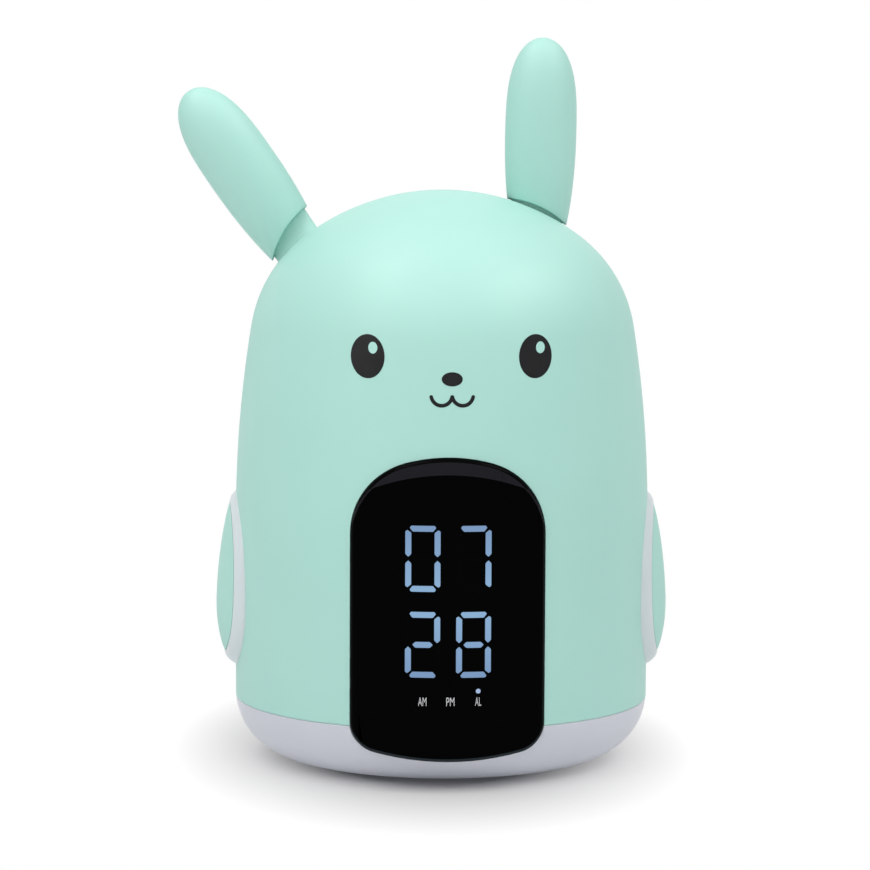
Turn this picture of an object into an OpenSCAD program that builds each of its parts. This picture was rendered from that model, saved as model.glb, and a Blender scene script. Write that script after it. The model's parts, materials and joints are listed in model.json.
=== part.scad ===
// Children's alarm clock with a night light: a round body with a domed top, two ears that tilt,
// two glowing arms, a glowing base and a curved display panel with two rows of digits.
// Millimetres, Z up. The display faces -Y. The origin is on the floor under the body's axis.

/* [Body] */
// Outer radius of the body
body_r = 55; // [53:0.5:58]
// Height at which the upright wall starts to lean in
wall_top_z = 64.5; // [62:0.5:70]
// Radius of the leaning side wall
side_arc_r = 320; // [300:5:340]
// Angle through which the side wall leans in
side_bend = 9.24; // [8.8:0.02:10]
// Radius of the rounded shoulder
shoulder_arc_r = 36.8; // [35:0.2:38.6]
// Angle at which the shoulder meets the domed top
dome_bend = 52.5; // [50:0.1:54]
// Wall thickness of the body shells
shell_wall = 2.2; // [1.8:0.1:2.6]

/* [Base] */
// Height of the seam between the glowing base and the body shells
base_seam_z = 16.4; // [15:0.2:19]
// Radius of the rounded lower edge
base_round_r = 17; // [14:0.5:18]
// Wall thickness of the glowing base
base_wall = 2.4; // [2:0.1:3]
// Height of the spigot that holds the base in the shells
spigot_h = 4; // [3:0.5:6]
// Thickness of the spigot
spigot_wall = 2; // [1.6:0.1:2.4]
// Width of the base plate's rim around the rubber foot pad
plate_rim = 3; // [2.5:0.1:4]
// How far the base plate overlaps the lip around its opening
plate_lap = 3.8; // [3.4:0.1:4]
// Thickness of the base plate's flange
plate_t = 2.2; // [2:0.1:3]
// Width of the foot pad's edge in front of the battery cap
foot_edge = 2.5; // [2:0.1:3.5]
// How far the foot pad stands below the base
foot_stand = 0.8; // [0.6:0.1:1.5]
// Depth of the pocket that holds the foot pad
foot_pocket = 1; // [0.6:0.1:1.2]

/* [Battery] */
// Distance of the battery cap's edge in front of the axis
cap_forward = 2.5; // [2.2:0.1:3]
// Radius of the coin cell
cell_r = 10; // [8:0.5:10]
// Thickness of the coin cell
cell_t = 3.2; // [2:0.1:3.2]
// Width of the battery cap's rim around the cell
cap_rim = 2.5; // [2.5:0.1:3]
// Thickness of the battery cap
cap_t = 2; // [1.6:0.1:2.2]
// Angle that the battery cap turns to unlock
cap_turn = 40; // [30:5:60]

/* [Display] */
// Half the width of the display panel
window_half_w = 25; // [23:0.5:27]
// Lowest point of the display panel
window_low_z = 8; // [7.5:0.1:9]
// Highest point of the display panel
window_high_z = 86.6; // [84:0.2:90]
// Radius of the panel's arched top
window_top_r = 40; // [36:1:44]
// Radius of the panel's upper corners
window_corner_r = 19.3; // [16:0.1:20]
// Radius of the panel's shallow lower edge
window_low_r = 90; // [80:2:120]
// Radius of the panel's lower corners
window_foot_r = 7.5; // [6:0.5:9]
// How far the panel stands proud of the body
window_proud = 0.9; // [0.6:0.1:1.2]
// Thickness of the panel's face
window_t = 2.2; // [1.8:0.1:2.6]
// Width of the rim around the back of the panel
rim_w = 1.8; // [1.4:0.1:2.4]
// Depth of the rim behind the panel's front
rim_depth = 9; // [8:0.5:10]

/* [Digits] */
// Width of a digit
digit_w = 9.4; // [8.5:0.1:10]
// Height of a digit
digit_h = 17.2; // [15:0.1:18]
// Width of a segment's stroke
stroke = 1.85; // [1.5:0.05:2.1]
// Distance of a side segment's point from the middle of its digit
segment_gap = 0.45; // [0.3:0.05:0.6]
// Distance of a segment's mitred end from the digit's corner
segment_inset = 1.1; // [1:0.05:1.4]
// Distance between the digits in a row
digit_pitch = 12.95; // [12:0.1:14]
// Distance between the two rows
row_pitch = 22.4; // [20:0.1:24]
// Height of the middle of the lower row
low_row_z = 38.3; // [36:0.1:40]
// Radius of the alarm light
alarm_dot_r = 0.75; // [0.6:0.05:1]
// Height of the alarm light
alarm_dot_z = 26.4; // [25.5:0.1:27]
// Depth of the light box behind the panel
light_box_depth = 8; // [7:0.5:9]

/* [Ears] */
// Distance of an ear's pivot in from the body's outer radius
pivot_inset = 31.8; // [30:0.1:33]
// Depth of the pivot straight below the dome
pivot_depth = 30; // [29.4:0.1:31]
// How far the ears stand behind the middle of the body
ear_back = 6; // [5.6:0.1:6.6]
// Angle that an ear tilts outward
ear_tilt = 33.8; // [20:0.1:34]
// Outward lean of an upright ear
ear_lean = 1.1; // [0:0.1:3]
// Height of an ear's tip above its pivot
ear_tip_h = 74.9; // [68:0.1:78]
// Height of an ear's widest place above its pivot
ear_wide_h = 48.6; // [46:0.2:52]
// Half the greatest width of an ear
ear_half_w = 9.5; // [9:0.05:10]
// Half the greatest depth of an ear
ear_half_d = 7.5; // [7.2:0.1:8.5]
// Sideways offset of an ear from its pivot
ear_shift = 1.95; // [1.6:0.05:2.2]
// Squareness of an ear's rounded tip
ear_tip_power = 2.7; // [2:0.1:3]
// Length over which an ear's lower part narrows
ear_taper = 38; // [36:0.5:50]
// Wall thickness of an ear
ear_wall = 2; // [1.6:0.1:2.2]
// Gap between an ear's lower rim and the dome
ear_gap = 0.25; // [0.2:0.05:0.6]
// Radius of the hollow that an ear's underside follows
ear_hollow_r = 30; // [26:1:40]

/* [Ear levers] */
// Thickness of an ear's neck, front to back
neck_d = 6; // [5.4:0.1:6.4]
// Width of an ear's neck
neck_w = 13.8; // [12:0.2:14]
// Clearance of the neck in its slot
slot_clearance = 0.5; // [0.4:0.1:0.8]
// Gap between the dome and the shield that closes the slot from inside
shield_gap = 0.5; // [0.4:0.05:0.8]
// Thickness of the shield
shield_t = 1.6; // [1.2:0.1:2]
// Radius of a lever's hub
hub_r = 5.2; // [4.5:0.1:6]
// Radius of a pivot pin
pin_r = 2; // [1.5:0.1:2.5]
// Running clearance of a pivot pin
pin_fit = 0.05; // [0.03:0.01:0.1]

/* [Arms] */
// Height of an arm's widest place
arm_mid_z = 43; // [42:0.5:46]
// Length of an arm above its widest place
arm_up = 28.3; // [26:0.1:30]
// Length of an arm below its widest place
arm_down = 18.05; // [16:0.05:20]
// Half the greatest width of an arm
arm_half_w = 17.1; // [16:0.1:18]
// Squareness of an arm's outline
arm_power = 2.3; // [2:0.1:2.6]
// Width of the glowing ring at the arm's sides
arm_ring_w = 2.75; // [2:0.05:3.5]
// Width of the ring at the arm's upper end
arm_ring_top = 2.4; // [2:0.1:3.2]
// Width of the ring at the arm's lower end
arm_ring_low = 3.4; // [2.8:0.1:3.8]
// How far the top of the glowing ring stands proud
ring_proud_top = 1.5; // [1.2:0.1:2]
// How far the bottom of the glowing ring stands proud
ring_proud_low = 3.1; // [2.8:0.1:3.4]
// How far the cap bulges out of the ring
arm_bulge = 2.7; // [1.8:0.1:3]
// Depth of the recess that holds the cap
arm_recess = 1.2; // [1:0.1:1.4]

/* [Rear] */
// Height of the row of buttons
button_z = 92; // [90:0.5:96]
// Distance between buttons
button_pitch = 13; // [12:0.5:15]
// Radius of a button
button_r = 4; // [3.5:0.1:4.5]
// How far a button stands out of the body
button_proud = 1.8; // [1.6:0.1:2.4]
// Travel of a button
button_travel = 1.2; // [0.8:0.1:1.4]
// Clearance around a button
button_fit = 0.3; // [0.2:0.05:0.4]
// Height of the middle of the loudspeaker
speaker_z = 48; // [44:0.5:52]
// Radius of the loudspeaker
speaker_r = 18; // [16:0.5:18]
// Radius of a sound hole
sound_hole_r = 1.1; // [0.8:0.05:1.3]
// Distance between sound holes
sound_hole_pitch = 4.2; // [3.6:0.1:5]
// Height of the middle of the power socket
socket_z = 23; // [22.5:0.1:24.5]
// Width of the power socket
socket_w = 8; // [7.6:0.1:9]
// Height of the power socket
socket_h = 2.9; // [2.6:0.1:3.2]
// Diameter of a screw's thread
screw_d = 2.6; // [2.2:0.1:3]
// Diameter of a screw's head
screw_head_d = 4.6; // [4.2:0.1:5]

/* [Inside] */
// Thickness of the circuit boards
board_t = 1.6; // [1:0.1:2]
// Wall thickness of the inner frame
frame_t = 2.4; // [2:0.1:2.8]
// Clear width of the channel that the levers swing in
channel_w = 18; // [17.6:0.2:20]

/* [Hidden] */
$fn = 96;
EPS = 0.01;
FAR = 200;
MINT = [0.70, 0.90, 0.85];
PALE = [0.86, 0.87, 0.93];
GLOW_WHITE = [0.90, 0.92, 0.95];
BLACK = [0.04, 0.04, 0.05];
DIGIT_BLUE = [0.62, 0.76, 0.95];
BOARD_GREEN = [0.10, 0.35, 0.20];
METAL = [0.75, 0.76, 0.78];
DARK = [0.15, 0.15, 0.17];

// Body outline: the side arc, the shoulder arc and the dome arc meet tangentially
side_cx = body_r - side_arc_r;
shoulder_cx = side_cx + (side_arc_r - shoulder_arc_r) * cos(side_bend);
shoulder_cz = wall_top_z + (side_arc_r - shoulder_arc_r) * sin(side_bend);
dome_r = shoulder_arc_r + shoulder_cx / cos(dome_bend);
dome_cz = shoulder_cz - shoulder_cx * tan(dome_bend);
inner_r = body_r - shell_wall;
base_low_z = foot_stand;
cap_r = cell_r + cap_rim;
battery_forward = cap_r + cap_forward;
foot_r = battery_forward + cap_r + foot_edge;
plate_r = foot_r + plate_rim;
base_flat_r = max(body_r - base_round_r, plate_r + plate_lap + 0.2);
base_edge_r = body_r - base_flat_r;
base_round_z = base_low_z + base_edge_r;
plate_low_z = base_low_z + base_wall;
plate_top_z = plate_low_z + plate_t;
plate_mid_z = plate_low_z + plate_t / 2;
foot_top_z = base_low_z + foot_pocket;
spigot_r = inner_r - 0.2;
spigot_root = 3;

// Half width of the body at a height above the upright wall and below the shoulder
function side_x(z, inset = 0) = side_cx + sqrt(pow(side_arc_r - inset, 2) - pow(z - wall_top_z, 2));
function dome_z(x) = dome_cz + sqrt(pow(dome_r, 2) - pow(x, 2));

// Display panel
window_r = body_r + window_proud;
window_back_r = window_r - window_t;
window_fit = 0.15;
window_top_cz = window_high_z - window_top_r;
window_corner_x = window_half_w - window_corner_r;
window_corner_z = window_top_cz + sqrt(pow(window_top_r - window_corner_r, 2) - pow(window_corner_x, 2));
window_low_cz = window_low_z + window_low_r;
window_foot_x = window_half_w - window_foot_r;
window_foot_z = window_low_cz - sqrt(pow(window_low_r - window_foot_r, 2) - pow(window_foot_x, 2));
digit_mid_x = 0.2;
high_row_z = low_row_z + row_pitch;
// Segments that are lit in each digit, in the order top, upper right, lower right, bottom,
// lower left, upper left, middle
ZERO = [1, 1, 1, 1, 1, 1, 0];
SEVEN = [1, 1, 1, 0, 0, 0, 0];
TWO = [1, 1, 0, 1, 1, 0, 1];
EIGHT = [1, 1, 1, 1, 1, 1, 1];
SHOWN = [[ZERO, SEVEN], [TWO, EIGHT]];
mark_x = [-6.4, 0.8, 8];
light_box_margin = 3;
light_box_w = digit_pitch + digit_w + 2 * light_box_margin;
light_box_low_z = alarm_dot_z - light_box_margin;
light_box_high_z = high_row_z + digit_h / 2 + light_box_margin;
display_board_y = -(window_back_r - light_box_depth);

// Ears and levers, measured from the pivot with the ear upright
pivot_x = body_r - pivot_inset;
pivot_z = dome_z(pivot_x) - pivot_depth;
ear_low_h = 18;
channel_half = channel_w / 2;
hub_side_gap = 0.3;
hub_half_y = channel_half - hub_side_gap;
neck_back = hub_half_y - neck_d / 2 - 0.2;
neck_in = neck_w / 2 - 1.9;
neck_out = neck_w / 2 + 1.9;
neck_top_h = ear_wide_h - 6;
ear_floor_h = ear_wide_h - 13;
slot_reach = pivot_depth - shell_wall - 4;
slot_in = asin((neck_in + slot_clearance) / slot_reach);
slot_out = asin((neck_out + slot_clearance) / slot_reach);
shield_lap = 3;
shield_half_y = neck_d / 2 + 2.2;
shield_r = sqrt(pow(dome_r - shell_wall, 2) - pow(neck_back + shield_half_y, 2))
    - norm([pivot_x, pivot_z - dome_cz]) - shield_gap;
neck_points = 36;
// The ear's foot, seen from the middle of the dome: its place, its half width and the hollow's axis
ear_foot_h = pivot_depth - 2;
ear_foot_turn = asin((pivot_x + ear_shift + ear_foot_h * sin(ear_lean)) / dome_r);
ear_foot_slope = asin(ear_back / (dome_r * cos(ear_foot_turn)));
ear_foot_half = ear_half_w * sqrt(1 - pow((ear_wide_h - ear_foot_h) / ear_taper, 2)) / cos(ear_foot_turn);
ear_hollow_h = sqrt(pow(dome_r + ear_gap, 2) - pow(ear_foot_half, 2))
    - sqrt(pow(ear_hollow_r, 2) - pow(ear_foot_half, 2));
tail_r = 11;
ear_rings = 22;
ear_points = 40;

// Arms
arm_points = 48;
arm_slot_r = 9;
arm_slot_low_z = arm_mid_z - 2;
arm_slot_high_z = arm_mid_z + 10;
arm_slot_fit = 0.1;
arm_board_x = inner_r - 8;
arm_cap_gap = 0.3;
arm_cap_part = 1 - arm_ring_w / arm_half_w;
arm_cap_edge = arm_cap_part - arm_cap_gap / arm_half_w;
arm_led_x = arm_board_x + board_t;

// Inner frame
channel_x = pivot_x + 12;
channel_low_z = pivot_z - 19;
channel_top_z = pivot_z + 8;
spine_half_w = 20;
spine_back_y = channel_half + frame_t;
standoff_h = 2;
post_r = 2.5;
main_board_y = spine_back_y + standoff_h;
main_board_half_w = spine_half_w - 1;
main_board_low_gap = 15.6;
main_board_high_gap = 10.8;
main_board_low_z = base_seam_z + main_board_low_gap;
main_board_high_z = channel_low_z - main_board_high_gap;
post_inset = 4;
chip_w = 12;
chip_t = 1.6;
ribbon_z = 52;
ribbon_half_w = 6;
ribbon_t = 0.4;

// Buttons, in a row across the back
button_x = [for (i = [-1.5 : 1 : 1.5]) i * button_pitch];
button_switch_h = 3.4;
button_stem_r = 2;
button_stem_short = 2.8;
button_collar_r = button_r + 1;
button_collar_t = 1.2;
button_back_gap = 0.2;
function body_y(x, z, inset = 0) = sqrt(pow(z > wall_top_z ? side_x(z, inset) : body_r - inset, 2) - x * x);
function collar_y(x) = body_y(abs(x) + button_collar_r, button_z, shell_wall) - button_back_gap - button_collar_t;
button_switch_y = collar_y(button_x[0]) - button_stem_short - button_travel - button_back_gap;
button_board_y = button_switch_y - button_switch_h - board_t;

// Loudspeaker
speaker_front_y = sqrt(pow(inner_r, 2) - pow(speaker_r + 2, 2)) - 2;
speaker_flange_t = 2;
speaker_h = 15;

// Power socket and the shelf under it
socket_long = 9;
shelf_low_z = base_seam_z + spigot_h + 0.2;

// Screws
shell_screw_low = [inner_r - 16.8, base_seam_z + 13.6];
shell_screw_high = [channel_x + 7, channel_low_z + 1];
shell_boss_r = 3.6;
well_floor_y = 6;
screw_reach = 10;
thread_r = screw_d / 2;
thread_fit = 0.05;
head_r = screw_head_d / 2;
head_t = 1.8;
base_screw_ring_r = plate_r + plate_lap / 2;
base_screw_high_z = plate_low_z + 6;
base_screw_seat_z = base_low_z + head_t - 0.6;
BASE_SCREW_ANGLES = [45, 135, 225, 315];

// Light boards
light_board_z = base_seam_z + spigot_h - 2;
light_board_outer_r = inner_r - 8.8;
light_board_inner_r = plate_r - 5;
light_post_r = 2.5;
LIGHT_POST_ANGLES = [0, 120, 240];
light_count = 12;
led_w = 3.5;
led_h = 1.4;

// ---- Shared shapes ----

// Part of a circle between two angles, as a pie slice
module slice(r, from, to) {
    reach = 2 * r;
    mid = (from + to) / 2;
    intersection() {
        circle(r);
        polygon([
            [0, 0],
            [reach * cos(from), reach * sin(from)],
            [reach * cos(mid), reach * sin(mid)],
            [reach * cos(to), reach * sin(to)]
        ]);
    }
}

// Points along an arc, from its first step on
function arc(cx, cz, r, from, to, steps, first = 0) = [
    for (i = [first : steps]) let (a = from + (to - from) * i / steps) [cx + r * cos(a), cz + r * sin(a)]
];

// The body's outline from the top of its upright wall to the top of its dome, shrunk by inset
function body_path(inset) = concat(
    arc(side_cx, wall_top_z, side_arc_r - inset, 0, side_bend, 8),
    arc(shoulder_cx, shoulder_cz, shoulder_arc_r - inset, side_bend, dome_bend, 16, 1),
    arc(0, dome_cz, dome_r - inset, dome_bend, 90, 18, 1)
);

// Solid of the body's outer form, shrunk by inset
module body_form(inset, low_z) {
    rotate_extrude() polygon(concat([[0, low_z], [body_r - inset, low_z]], body_path(inset)));
}

// The shells' wall, all the way round
module wall_form() {
    inside = body_path(shell_wall);
    rotate_extrude() polygon(concat(
        [[body_r - shell_wall, base_seam_z], [body_r, base_seam_z]],
        body_path(0),
        [for (i = [len(inside) - 1 : -1 : 0]) inside[i]]
    ));
}

// Right half of the base's outline with its rounded lower edge, shrunk by inset
module base_section(inset, high_z) {
    translate([0, base_low_z + inset]) square([base_flat_r, high_z - base_low_z - inset]);
    intersection() {
        translate([base_flat_r, base_round_z]) circle(base_edge_r - inset);
        translate([base_flat_r, 0]) square([base_edge_r, base_round_z]);
    }
    translate([0, base_round_z]) square([body_r - inset, max(high_z - base_round_z, EPS)]);
}

module base_form() {
    intersection() {
        rotate_extrude() base_section(0, base_round_z + EPS);
        translate([-FAR / 2, -FAR / 2, 0]) cube([FAR, FAR, base_seam_z]);
    }
}

// Everything in front of the parting plane, or behind it
module front_side() {
    translate([-FAR, -2 * FAR, -FAR]) cube(2 * FAR);
}

module rear_side() {
    translate([-FAR, 0, -FAR]) cube(2 * FAR);
}

// A flat outline in X and Z, run along Y between two places
module along_y(from_y, to_y) {
    translate([0, to_y, 0]) rotate([90, 0, 0]) linear_extrude(to_y - from_y) children();
}

// A round bar along Y
module bar_y(r, from_y, to_y) {
    translate([0, to_y, 0]) rotate([90, 0, 0]) cylinder(r = r, h = to_y - from_y);
}

// A flat bar with round ends that runs along X, upright in Z
module slot_x(r, low_z, high_z, from_x, to_x) {
    translate([from_x, 0, 0]) rotate([90, 0, 90]) linear_extrude(to_x - from_x) {
        translate([-r, low_z]) square([2 * r, high_z - low_z]);
        translate([0, low_z]) circle(r);
        translate([0, high_z]) circle(r);
    }
}

// Closed solid through a stack of rings with equal numbers of points
module loft(rings) {
    n = len(rings[0]);
    m = len(rings);
    middles = [for (ring = [rings[0], rings[m - 1]]) [for (k = [0 : 2]) mean_of([for (p = ring) p[k]])]];
    points = concat([for (ring = rings) each ring], middles);
    sides = [
        for (j = [0 : m - 2], i = [0 : n - 1])
            let (a = j * n + i, b = j * n + (i + 1) % n)
            each [[a, a + n, b + n], [a, b + n, b]]
    ];
    low_end = [for (i = [0 : n - 1]) [m * n, i, (i + 1) % n]];
    high_end = [for (i = [0 : n - 1]) [m * n + 1, (m - 1) * n + (i + 1) % n, (m - 1) * n + i]];
    polyhedron(points, concat(sides, low_end, high_end), convexity = 4);
}

function mean_of(values) = values * [for (v = values) 1] / len(values);

// Sine-like wave that squares a ring's corners
function squared(wave, power) = sign(wave) * pow(abs(wave), 2 / power);

// ---- Body ----

module window_outline(grow) {
    top_turn = atan2(window_corner_z - window_top_cz, window_corner_x);
    low_turn = atan2(window_low_cz - window_foot_z, window_foot_x);
    right = concat(
        arc(0, window_low_cz, window_low_r + grow, -90, -low_turn, 6, 1),
        arc(window_foot_x, window_foot_z, window_foot_r + grow, -low_turn, 0, 14, 1),
        arc(window_corner_x, window_corner_z, window_corner_r + grow, 0, top_turn, 18),
        arc(0, window_top_cz, window_top_r + grow, top_turn, 90, 8, 1)
    );
    last = len(right) - 1;
    polygon(concat(
        [[0, window_low_z - grow]],
        right,
        [for (i = [last - 1 : -1 : 0]) [-right[i][0], right[i][1]]]
    ));
}

// What the display panel and its clearance take out of the body
module window_opening() {
    along_y(-FAR, -body_r / 3) window_outline(window_fit);
}

// Slot in the dome that an ear's neck swings through, on the right
module ear_slot() {
    half_y = neck_d / 2 + slot_clearance;
    from = 90 + slot_in;
    to = 90 - ear_tilt - slot_out;
    reach = pivot_depth + 20;
    translate([pivot_x, 0, pivot_z]) along_y(neck_back - half_y, neck_back + half_y) polygon([
        for (a = [from, (2 * from + to) / 3, (from + 2 * to) / 3, to])
            [(a == from || a == to ? reach : reach * 1.2) * cos(a), reach * sin(a)],
        [hub_r * cos(to), hub_r * sin(to)],
        [hub_r * cos(from), hub_r * sin(from)]
    ]);
}

// Openings that both shells share
module shell_openings() {
    for (side = [0, 1]) mirror([side, 0, 0]) {
        ear_slot();
        slot_x(arm_slot_r + arm_slot_fit, arm_slot_low_z, arm_slot_high_z, body_r / 2, body_r * 1.2);
    }
}

// Bare shell walls
module shell_walls() {
    difference() {
        wall_form();
        shell_openings();
    }
}

// Places something at each of the four shell screws
module at_shell_screws() {
    for (place = [shell_screw_low, shell_screw_high], side = [-1, 1])
        translate([side * place[0], 0, place[1]]) children();
}

module front_shell() {
    color(MINT) {
        difference() {
            intersection() {
                union() {
                    shell_walls();
                    intersection() {
                        at_shell_screws() bar_y(shell_boss_r, -body_r, 0);
                        body_form(shell_wall - 0.5, base_seam_z);
                    }
                }
                front_side();
            }
            window_opening();
            at_shell_screws() bar_y(thread_r + thread_fit, -screw_reach - 2, 1);
        }
    }
}

module sound_holes() {
    rings = floor((speaker_r - 4) / sound_hole_pitch);
    translate([0, 0, speaker_z]) {
        bar_y(sound_hole_r, speaker_front_y, body_r * 1.1);
        for (ring = [1 : rings], i = [0 : 6 * ring - 1])
            rotate([0, i * 60 / ring, 0]) translate([ring * sound_hole_pitch, 0, 0])
                bar_y(sound_hole_r, speaker_front_y, body_r * 1.1);
    }
}

module rear_shell() {
    seat_wall = 1.6;
    seat_depth = 4;
    color(MINT) {
        difference() {
            intersection() {
                union() {
                    shell_walls();
                    intersection() {
                        union() {
                            at_shell_screws() bar_y(shell_boss_r, 0, body_r);
                            translate([0, 0, speaker_z]) difference() {
                                bar_y(speaker_r + seat_wall, speaker_front_y - seat_depth, body_r);
                                bar_y(speaker_r + 0.2, 0, speaker_front_y);
                                bar_y(speaker_r - 1.5, 0, body_r);
                            }
                            for (side = [-1, 1])
                                translate([side * (button_pitch * 1.5 + 8), 0, button_z])
                                    bar_y(3, button_board_y + board_t, body_r);
                            translate([-socket_w, body_r - socket_long, shelf_low_z])
                                cube([2 * socket_w, socket_long, socket_z - socket_h / 2 - shelf_low_z]);
                        }
                        body_form(shell_wall - 0.5, base_seam_z);
                    }
                }
                rear_side();
            }
            at_shell_screws() {
                bar_y(thread_r + 0.2, -1, well_floor_y);
                bar_y(head_r + 0.3, well_floor_y, body_r * 1.1);
            }
            sound_holes();
            for (x = button_x)
                translate([x, 0, button_z]) bar_y(button_r + button_fit, body_r / 2, body_r * 1.1);
            translate([-socket_w / 2 - 0.15, body_r / 2, socket_z - socket_h / 2 - 0.15])
                cube([socket_w + 0.3, body_r, socket_h + 0.3]);
        }
    }
}

// ---- Base ----

module at_base_screws() {
    for (a = BASE_SCREW_ANGLES) rotate(a) translate([base_screw_ring_r, 0, 0]) children();
}

// Wells that the screws' heads sit in
module base_screw_wells() {
    at_base_screws() cylinder_between(head_r + 0.2, 0, base_screw_seat_z);
}

module base_diffuser() {
    color(PALE) difference() {
        union() {
            difference() {
                base_form();
                rotate_extrude() base_section(base_wall, FAR);
                cylinder(r = plate_r, h = base_wall * 3);
            }
            difference() {
                union() {
                    cylinder_between(body_r - base_wall / 2, base_seam_z - spigot_root, base_seam_z - 0.5);
                    cylinder_between(spigot_r, base_seam_z - spigot_root, base_seam_z + spigot_h);
                }
                cylinder(r = spigot_r - spigot_wall, h = FAR);
            }
        }
        window_opening();
        at_base_screws() cylinder(r = thread_r + 0.2, h = FAR);
        base_screw_wells();
    }
}

module base_plate() {
    color(PALE) difference() {
        union() {
            cylinder_between(plate_r - 0.15, base_low_z, plate_mid_z);
            translate([0, 0, plate_low_z]) cylinder(r = plate_r + plate_lap, h = plate_t);
            for (a = LIGHT_POST_ANGLES) rotate(a) translate([plate_r - 1, 0, 0])
                cylinder_between(light_post_r, plate_mid_z, light_board_z);
            at_base_screws() cylinder_between(thread_r + 1.6, plate_mid_z, base_screw_high_z + 1);
        }
        translate([0, 0, -1]) cylinder(r = foot_r, h = foot_top_z + 1);
        at_base_screws() cylinder(r = thread_r + thread_fit, h = base_screw_high_z);
        base_screw_wells();
        translate([0, -battery_forward, 0]) {
            cylinder(r = cap_r + 0.3, h = plate_low_z);
            cylinder(r = cell_r + 0.7, h = FAR);
            rotate(cap_turn) cap_lugs(lug_room);
        }
    }
}

module foot_pad() {
    color(DARK) difference() {
        cylinder(r = foot_r, h = foot_top_z);
        translate([0, -battery_forward, -1]) cylinder(r = cap_r + 0.6, h = FAR);
    }
}

// Two lugs that hold the battery cap under the plate, with room around them for the notches
module cap_lugs(room) {
    lug_out = cap_r - 0.2 + room;
    lug_half_w = 2.4 + room;
    translate([0, 0, room > 0 ? 0 : plate_top_z + 0.3]) intersection() {
        cylinder(r = lug_out, h = room > 0 ? FAR : 1.2);
        translate([-FAR / 2, -lug_half_w, -1]) cube([FAR, 2 * lug_half_w, FAR + 2]);
    }
}

module battery_cap() {
    slot_w = 2;
    cap_low_z = plate_low_z - 0.2 - cap_t;
    color(PALE) translate([0, -battery_forward, 0]) difference() {
        union() {
            translate([0, 0, cap_low_z]) cylinder(r = cap_r, h = cap_t);
            cylinder_between(cell_r + 0.4, cap_low_z + cap_t / 2, plate_top_z + 1.5);
            cap_lugs(0);
        }
        translate([-cap_r * 0.7, -slot_w / 2, cap_low_z - 1]) cube([cap_r * 1.4, slot_w, 2]);
    }
}

module cylinder_between(r, low_z, high_z) {
    translate([0, 0, low_z]) cylinder(r = r, h = high_z - low_z);
}

lug_room = 0.4;
cell_low_z = plate_top_z + 1.8;
cell_high_z = cell_low_z + cell_t;
holder_r = cap_r + 2;

module coin_cell() {
    color(METAL) translate([0, -battery_forward, 0]) {
        cylinder_between(cell_r - 1, cell_low_z, cell_low_z + cell_t / 2);
        cylinder_between(cell_r, cell_low_z + 0.3, cell_high_z);
    }
}

module battery_holder() {
    roof_t = 1.5;
    pad_gap = 0.6;
    color(DARK) translate([0, -battery_forward, 0]) difference() {
        cylinder_between(holder_r, plate_top_z, cell_high_z + pad_gap + roof_t);
        cylinder_between(cap_r + 0.4, plate_top_z - 1, cell_low_z);
        cylinder_between(cell_r + 0.15, cell_low_z - 1, cell_high_z + pad_gap);
        cylinder_between(1.2, cell_high_z, FAR);
        translate([cell_r - 1, -1.5, cell_low_z]) cube([2.2, 3, cell_t + 10]);
    }
}

module battery_contacts() {
    color(METAL) translate([0, -battery_forward, 0]) {
        cylinder_between(4, cell_high_z, cell_high_z + 0.6);
        cylinder_between(1.1, cell_high_z + 0.3, cell_high_z + 5);
        translate([cell_r + 0.15, -1.2, cell_low_z + 0.5]) cube([0.8, 2.4, cell_t + 4]);
    }
}

// ---- Display ----

// One end of a segment that meets a corner of the digit: mitred on the inside
function corner_end(half) = let (s = stroke / 2)
    [[half - s / 2, s], [half, s * 0.3], [half - s, -s]];

// One end of a segment that meets the middle of the digit: pointed
function middle_end(half) = let (s = stroke / 2)
    [[half - s, s], [half, 0], [half - s, -s]];

// A segment along X whose outer edge is at the top, with a shape for each end
module segment(right_end, left_end) {
    last = len(left_end) - 1;
    polygon(concat(right_end, [for (i = [last : -1 : 0]) [-left_end[i][0], left_end[i][1]]]));
}

// The segments of one digit whose state is asked for
module digit_outline(states, wanted) {
    dx = (digit_w - stroke) / 2;
    dz = (digit_h - stroke) / 2;
    across = digit_w / 2 - segment_inset;
    long = (digit_h / 2 - segment_inset - segment_gap) / 2;
    side_z = segment_gap + long;
    corner = corner_end(across);
    tall = corner_end(long);
    point = middle_end(long);
    if (states[0] == wanted) translate([0, dz]) segment(corner, corner);
    if (states[1] == wanted) translate([dx, side_z]) rotate(-90) segment(point, tall);
    if (states[2] == wanted) translate([dx, -side_z]) rotate(-90) segment(tall, point);
    if (states[3] == wanted) translate([0, -dz]) rotate(180) segment(corner, corner);
    if (states[4] == wanted) translate([-dx, -side_z]) rotate(90) segment(point, tall);
    if (states[5] == wanted) translate([-dx, side_z]) rotate(90) segment(tall, point);
    if (states[6] == wanted) segment(middle_end(across - stroke / 2), middle_end(across - stroke / 2));
}

module segment_outlines(wanted) {
    for (row = [0, 1], column = [0, 1])
        translate([digit_mid_x + (column - 0.5) * digit_pitch, high_row_z - row * row_pitch])
            digit_outline(SHOWN[row][column], wanted);
    for (i = [0 : 2]) if ((i == 2) == (wanted == 1))
        translate([mark_x[i], alarm_dot_z]) circle(alarm_dot_r);
}

// Light guides that fill the panel's face from back to front
module segment_guides(wanted) {
    intersection() {
        along_y(-body_r * 1.1, -body_r / 2) segment_outlines(wanted);
        difference() {
            cylinder(r = window_r, h = FAR);
            cylinder(r = window_back_r, h = FAR);
        }
    }
}

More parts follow.
